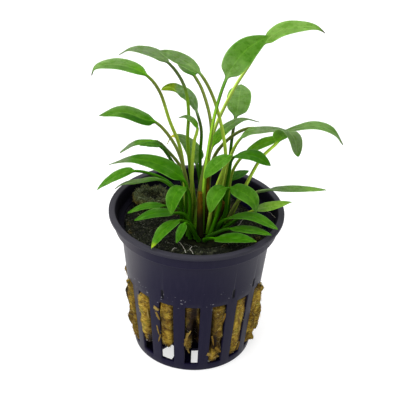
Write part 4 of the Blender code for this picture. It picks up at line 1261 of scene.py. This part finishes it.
def wool_bottom(bearing):
    """Height of the wool's lower edge: near the floor, but hollow toward the front."""
    low = WOOL_BOTTOM + ease(inside_arc(bearing, WOOL_HOLLOW_ARC) / WOOL_HOLLOW_BLEND) * WOOL_HOLLOW
    for middle, reach, drop in WOOL_HEMS:
        low -= drop * ease(inside_arc(bearing, (middle, reach)) / (reach * 0.6))
    return max(low, WOOL_BOTTOM)


def lump_shares(bearing, height):
    """Yield how fully a place lies in each lump, from 0 to 1, the lump's swell and its damp, which in sunk
    lumps is partly painted shade.
    """
    for middle, level, reach, rise, out, damp in WOOL_LUMPS:
        off = turn_from(middle, bearing)
        yield ease(1.25 - math.hypot(off / reach, (height - level) / rise)), out, damp


def wool_wall(bearing, height):
    """Radius of the wool beside the wall: it presses into the slots and swells at the sides."""
    inner = body_radius(height) - WALL - WOOL_CLEARANCE
    pitch = 360 / SLOT_COUNT
    from_slot = abs((bearing + pitch / 2) % pitch - pitch / 2)
    in_slot = ease((SLOT_WIDTH / 2 - SLOT_CLEARANCE - from_slot) / 0.9)
    in_slot *= ease((height - SLOT_BOTTOM - 0.4) / 0.7) * ease((SLOT_TOP - SLOT_CLEARANCE - height) / 0.7)
    bulging = max(ease(inside_arc(bearing, arc) / 12) for arc in BULGE_ARCS)
    lump = noise.noise(Vector((bearing * 0.10, height * 0.16, 3.0)))
    tear = noise.noise(Vector((bearing * 0.55, height * 0.35, 7.0)))
    fine = noise.noise(Vector((bearing * 1.3, height * 0.9, 11.0)))
    rough = 0.55 * lump + 0.35 * tear + 0.14 * fine
    swell = 0.75 + rough * 1.1 + bulging * BULGE * (0.75 + 0.9 * lump + 0.4 * tear)
    shares = list(lump_shares(bearing, height))
    sunk = sum(share * out for share, out, _ in shares if out < 0)
    raised = sum(share * out for share, out, _ in shares if out > 0)
    return inner - max(0.3 + rough, 0.0) * (1 - in_slot) + (swell + raised) * in_slot + sunk


def wool_damp_and_shade(bearing, height, low):
    """Return how damp and dark the wool is beside the wall: 1 is soaked, less than 0 bleached. The sunk lumps
    add painted shade to it.
    """
    # The lumps add their darkness: damp in part, and painted shade in sunk hollows and along slot edges
    torn = sum(share * damp for share, _, damp in lump_shares(bearing, height))
    streak = noise.noise(Vector((bearing * 0.22, height * 0.07, 19.0)))
    patch = noise.noise(Vector((bearing * 0.09, height * 0.12, 23.0)))
    hem = ease((low + 1.6 - height) / 1.6) * 0.5
    damp = min(max(0.17 + 0.7 * streak + 0.6 * patch + torn + hem, -0.6), 1.0)
    return damp + (1.0 - damp) * ease((height - 36.0) / 6.0)


def underside_spot(share, bearing):
    """Place and damp on the wool's underside, a share of the way out."""
    radius = share * WOOL_UNDERSIDE_RADIUS
    low = wool_bottom(bearing)
    height = WOOL_MIDDLE_BOTTOM + (low + 0.8 - WOOL_MIDDLE_BOTTOM) * ease(share * 1.4)
    height += noise.noise(on_circle(radius, bearing, 5.0) * 0.5) * 0.7
    return on_circle(radius, bearing, height), UNDERSIDE_DAMP


def side_spot(row, bearing):
    """Place and damp on the wool beside the wall, some rows up."""
    low = wool_bottom(bearing)
    top = min(wool_top(bearing), COLLAR_BOTTOM - GAP)
    height = low + (top - low) * row / WOOL_ROWS
    hem = ease((low + 2.5 - height) / 2.5)
    height += noise.noise(Vector((bearing * 0.3, 0.0, 31.0))) * 1.2 * hem
    return on_circle(wool_wall(bearing, height), bearing, height), wool_damp_and_shade(bearing, height, low)


def top_spot(share, bearing):
    """Place and damp on the wool's torn top, a share of the way out from the crown."""
    edge = on_circle(min(wool_wall(bearing, WOOL_EDGE_HEIGHT), WOOL_TOP_RADIUS + 1.2), bearing, 0)
    place = Vector((*CROWN_CENTRE, 0)).lerp(edge, share)
    rim = ease((share - 0.45) / 0.5)
    place.z = WOOL_MIDDLE_TOP + (wool_top(bearing) - WOOL_MIDDLE_TOP) * rim
    lump = noise.noise(place * 0.35) * 0.9 + noise.noise(place * 1.1) * 0.5
    lump += noise.noise(place * 2.7) * 0.25
    dry = max(ease(1.4 - (place.xy - Vector((x, y))).length / reach) for x, y, reach in DRY_SPOTS)
    lump += dry * 0.5
    place.z += lump * ease((share - 0.3) / 0.3) - 0.5 * ease((share - 0.93) / 0.07)
    return place, 1.0 - 0.45 * dry


def build_wool():
    """Return the mesh of the plug of wool, ring by ring from its middle below to its top."""
    rows = [(underside_spot, share) for share in UNDERSIDE_SHARES]
    rows += [(side_spot, row) for row in range(WOOL_ROWS + 1)]
    rows += [(top_spot, max(1 - row / WOOL_TOP_ROWS, 0.01)) for row in range(1, WOOL_TOP_ROWS + 1)]
    return ringed_mesh("wool", [
        [spot(along, 360 * column / WOOL_COLUMNS) for column in range(WOOL_COLUMNS)]
        for spot, along in rows])


def fibre_recipe():
    """Short bent fibres scattered over a surface, lying nearly flat."""
    tree = Recipe("fibres", Float=["Density", "Length", "Radius", "Lift"], Int=["Seed"])
    points = tree.scattered()
    facing = points.other("Normal")
    wander = tree.random((-1.0, -1.0, -1.0), (1.0, 1.0, 1.0), tree.size("Seed"))
    flat = tree.vector("NORMALIZE", tree.vector("CROSS_PRODUCT", facing, wander))
    heading = tree.vector("ADD", flat, tree.vector("SCALE", facing, scale=tree.size("Lift")))
    turned = tree.node("FunctionNodeAlignRotationToVector", {"axis": "X", "pivot_axis": "AUTO"}, {
        "Vector": heading})
    bent = tree.node("GeometryNodeCurveQuadraticBezier", None, {
        "Resolution": 4, "Start": (-0.5, 0.0, 0.0), "Middle": (0.05, 0.22, 0.1),
        "End": (0.5, -0.05, 0.04)})
    strand = tree.swept(bent, tree.circle(3, tree.size("Radius") / tree.size("Length")))
    size = tree.random(0.5, 1.3, tree.size("Seed"))
    made = tree.repeated(points, strand, turned, size * tree.size("Length"))
    tree.close(tree.shaded(made, 5))
    return tree


def crumb_recipe():
    """Small irregular crumbs scattered over the faces that look up."""
    tree = Recipe("crumbs", Float=["Density", "Size"], Int=["Seed"])
    _, _, upright = tree.parts(tree.node("GeometryNodeInputNormal"))
    ball = tree.node("GeometryNodeMeshIcoSphere", None, {"Radius": 1.0, "Subdivisions": 1})
    here = tree.here()
    dent = tree.vector("SUBTRACT", tree.noise(here, 1.3).other(1), HALVES)
    crumb = tree.move(ball, tree.vector("ADD", here, dent))
    turn = tree.random((0.0, 0.0, 0.0), (TURN, TURN, TURN), tree.size("Seed"))
    size = tree.vector("SCALE", tree.random((0.3, 0.3, 0.15), (1.0, 0.7, 0.5), 7),
                       scale=tree.size("Size"))
    made = tree.repeated(tree.scattered(upright > 0.6), crumb, turn, size)
    tree.close(tree.shaded(made, 9))
    return tree


def flake_recipe():
    """Thin bent flakes, one at each point, which knows its facing, width, length and turn."""
    tree = Recipe("flakes", Float=["Thickness"])
    points = tree.node("GeometryNodeMeshToPoints", None, {"Mesh": tree.size("Geometry")})
    sheet = tree.node("GeometryNodeMeshCube", None, {
        "Size": (1.0, 1.0, 1.0), "Vertices X": 7, "Vertices Y": 2, "Vertices Z": 9})
    x, y, z = tree.parts(tree.here())
    fray = tree.noise(tree.combine(x * 2.0, 0.0, z * 6.0), 1.5, 3.0, 0.8) - 0.5
    slimmer = 0.85 + z * 0.6 - z * z * 1.4 + fray * 2.2
    bent_y = y + x * x * 2.0 - z * z * 2.0 + fray * 2.0
    sheet = tree.move(sheet, tree.combine(x * slimmer + fray * 0.5, bent_y, z + fray * 0.3))
    facing = tree.node("FunctionNodeAlignRotationToVector", {"axis": "Y", "pivot_axis": "Z"}, {
        "Vector": tree.read("facing", "FLOAT_VECTOR")})
    turned = tree.node("FunctionNodeRotateRotation", {"rotation_space": "LOCAL"}, {
        "Rotation": facing, "Rotate By": tree.node("FunctionNodeAxisAngleToRotation", None, {
            "Axis": (0.0, 1.0, 0.0), "Angle": tree.read("turn")})})
    size = tree.combine(tree.read("width"), tree.size("Thickness"), tree.read("length"))
    tree.close(tree.repeated(points, sheet, turned, size))
    return tree


def make_flakes(finish):
    """Flakes of wool torn loose at the edges of the slots."""
    bearings, heights, widths, lengths, turns, shades = zip(*FLAKES)
    spots = [on_circle(body_radius(height) + 0.05, bearing, height)
             for bearing, height in zip(bearings, heights)]
    base = mesh_of("flake_spots", spots, [], [], {
        "facing": [on_circle(1.0, bearing, 0.0) for bearing in bearings],
        "width": [width * MM for width in widths], "length": [length * MM for length in lengths],
        "turn": [math.radians(turn) for turn in turns], "shade": shades})
    dress(flake_recipe().make("wool_flakes", base, finish, {"Thickness": 0.22 * MM}), "wool")


def make_from_mesh(name, mesh, slot, node, finish):
    """Make a piece that stands for one node from a ready mesh."""
    piece = add_object(name, mesh)
    mesh.materials.append(finish)
    dress(piece, slot, node)
    return piece


def make_wool(finish, fibre, moss):
    wool = make_from_mesh("growing_wool", build_wool(), "wool", "wool", finish)
    fibres = fibre_recipe().make("wool_fibres", wool.data.copy(), fibre, {
        "Density": 1000000.0, "Length": 2.2 * MM, "Radius": 0.04 * MM, "Lift": 0.1, "Seed": 3})
    dress(fibres, "wool")
    crumbs = crumb_recipe().make("moss_crumbs", wool.data.copy(), moss, {
        "Density": 2500000.0, "Size": 0.55 * MM, "Seed": 2})
    dress(crumbs, "wool")
    make_flakes(fibre)


def noise_shift(place):
    """Return a shift that wavers from place to place, the same in every run."""
    return Vector([noise.noise(place + Vector(offset)) for offset in SHIFT_OFFSETS])


def lumpy_mound(name, centre, radii, low, high, rows, columns, lumps, scale, hollow=0.0):
    """Return the mesh of a closed lumpy mound, dark in the hollow in its top with painted shade, kept in its
    damp.
    """
    rings = []
    for row in range(rows + 1):
        angle = math.pi * (0.03 + 0.94 * row / rows)
        ring = []
        for column in range(columns):
            offset = on_circle(math.sin(angle) ** 0.7, 360 * column / columns, 0)
            place = Vector((centre[0] + offset.x * (radii[0] - MOUND_INSET),
                            centre[1] + offset.y * (radii[1] - MOUND_INSET),
                            (low + high) / 2 - math.cos(angle) * (high - low) / 2))
            shift = noise_shift(place * scale) + noise_shift(place * scale * 3) * 0.4
            from_hole = (offset - Vector((0.12, -0.1, 0))).length
            sunk = ease(1.45 - from_hole * 1.8) * ease((math.cos(math.pi - angle) + 0.3) / 0.6)
            place.z -= hollow * sunk
            # The hollow is darkened by painted shade, stored as damp
            ring.append((place + shift * lumps, 0.12 + 0.88 * sunk if hollow else 0.4))
        rings.append(ring)
    return ringed_mesh(name, rings)


def make_crown(finish):
    mound = lumpy_mound("rootstock", CROWN_CENTRE, CROWN_RADII, CROWN_BOTTOM - 0.2, CROWN_TOP + 0.2,
                        rows=24, columns=72, lumps=0.35, scale=0.9)
    make_from_mesh("rootstock", mound, "crown", "crown", finish)


def make_tuft(finish, fibre, moss):
    mound = lumpy_mound("raised_tuft", TUFT_CENTRE, TUFT_RADII, TUFT_BOTTOM - 0.3, TUFT_TOP,
                        rows=52, columns=128, lumps=1.0, scale=0.7, hollow=2.8)
    tuft = make_from_mesh("raised_tuft", mound, "wool_tuft", "wool_tuft", finish)
    fibres = fibre_recipe().make("tuft_fibres", tuft.data.copy(), fibre, {
        "Density": 2500000.0, "Length": 2.0 * MM, "Radius": 0.035 * MM, "Lift": 0.2, "Seed": 8})
    dress(fibres, "wool_tuft")
    crumbs = crumb_recipe().make("tuft_crumbs", tuft.data.copy(), moss, {
        "Density": 5000000.0, "Size": 0.45 * MM, "Seed": 6})
    dress(crumbs, "wool_tuft")


def make_floor():
    """Pale floor that reads as white."""
    reach = 3.0 / MM
    corners = [(-reach, -reach, 0), (reach, -reach, 0), (reach, reach, 0), (-reach, reach, 0)]
    floor = add_object("floor", mesh_of("floor", corners, [], [(0, 1, 2, 3)]))
    finish = Finish("pale_floor", 0.5, Roughness=0.9)
    finish.set("Base Color", (0.42, 0.42, 0.42))
    finish.set("Emission Color", (1.0, 1.0, 1.0))
    finish.set("Emission Strength", 0.66)
    floor.data.materials.append(finish.material)


def add_light(name, place, size, power):
    """Rectangular panel, its size in metres, turned to the middle of the plant."""
    light = bpy.data.lights.new(name, "AREA")
    light.shape = "RECTANGLE"
    light.size, light.size_y = size
    light.energy = power
    made = add_object(name, light)
    made.location = Vector(place) * MM
    aim = Vector(LIGHT_TARGET) * MM - made.location
    made.rotation_euler = aim.to_track_quat("-Z", "Y").to_euler()


def make_studio():
    """Soft even light from large panels, with white all round."""
    world = bpy.data.worlds.new("studio")
    world.use_nodes = True
    background = world.node_tree.nodes["Background"]
    background.inputs["Color"].default_value = (1.0, 1.0, 1.0, 1.0)
    background.inputs["Strength"].default_value = 0.25
    scene.world = world
    add_light("overhead panel", place=(-100, -50, 800), size=(1.5, 1.5), power=13.0)
    add_light("key panel", place=(-420, -380, 480), size=(0.6, 0.6), power=3.0)
    add_light("back panel", place=(60, 520, 330), size=(0.9, 0.4), power=1.0)
    scene.view_settings.view_transform = "Standard"


def make_camera():
    """Camera at the photograph's viewing angle."""
    data = bpy.data.cameras.new("camera")
    data.lens = CAMERA_LENS
    data.sensor_width = 36.0
    data.clip_start = 0.01
    camera = add_object("camera", data)
    elevation = math.radians(CAMERA_ELEVATION)
    back = Vector((0, -math.cos(elevation), math.sin(elevation)))
    camera.location = (Vector(CAMERA_TARGET) + back * CAMERA_DISTANCE) * MM
    look = (-back).to_track_quat("-Z", "Y").to_matrix()
    camera.rotation_euler = (look @ Matrix.Rotation(math.radians(CAMERA_ROLL), 3, "Z")).to_euler()
    scene.camera = camera


def main():
    make_camera()
    make_studio()
    make_floor()
    make_pot(pot_finish())
    fibre = fibre_finish("wool_fibre", dark=(0.15, 0.085, 0.008), light=(0.62, 0.50, 0.17),
                         soaked=(0.012, 0.014, 0.006), pale_wet=(0.34, 0.35, 0.27))
    moss = fibre_finish("moss_crumb", dark=(0.030, 0.040, 0.008), light=(0.13, 0.13, 0.045),
                        soaked=(0.008, 0.011, 0.004), pale_wet=(0.060, 0.070, 0.035))
    weed = fibre_finish("tuft_fibre", dark=(0.035, 0.045, 0.018), light=(0.26, 0.29, 0.15),
                        soaked=(0.006, 0.009, 0.003), pale_wet=(0.20, 0.22, 0.13),
                        brown_below=TUFT_BROWN_BELOW)
    make_wool(wool_finish("growing_wool_gold", light=(0.36, 0.24, 0.030), middle=(0.19, 0.105, 0.009),
                          dark=(0.05, 0.020, 0.002), green=(0.13, 0.12, 0.013)), fibre, moss)
    make_tuft(wool_finish("raised_tuft_wool", light=(0.26, 0.33, 0.18), middle=(0.10, 0.13, 0.06),
                          dark=(0.012, 0.016, 0.008), green=(0.05, 0.09, 0.03),
                          brown_below=TUFT_BROWN_BELOW), weed, moss)
    make_crown(plain_finish("rootstock_bark", CROWN_BARK, scale=0.8, roughness=0.8))
    make_leaves(leaf_finish())
    make_strands(plain_finish("papery_sheath", DEAD_SHEATH, scale=1.2, roughness=0.85,
                              stretch=(3.0, 3.0, 0.3), dark_to=57.0),
                 plain_finish("fine_root", ROOT_WHITE, scale=0.6, roughness=0.55))


main()
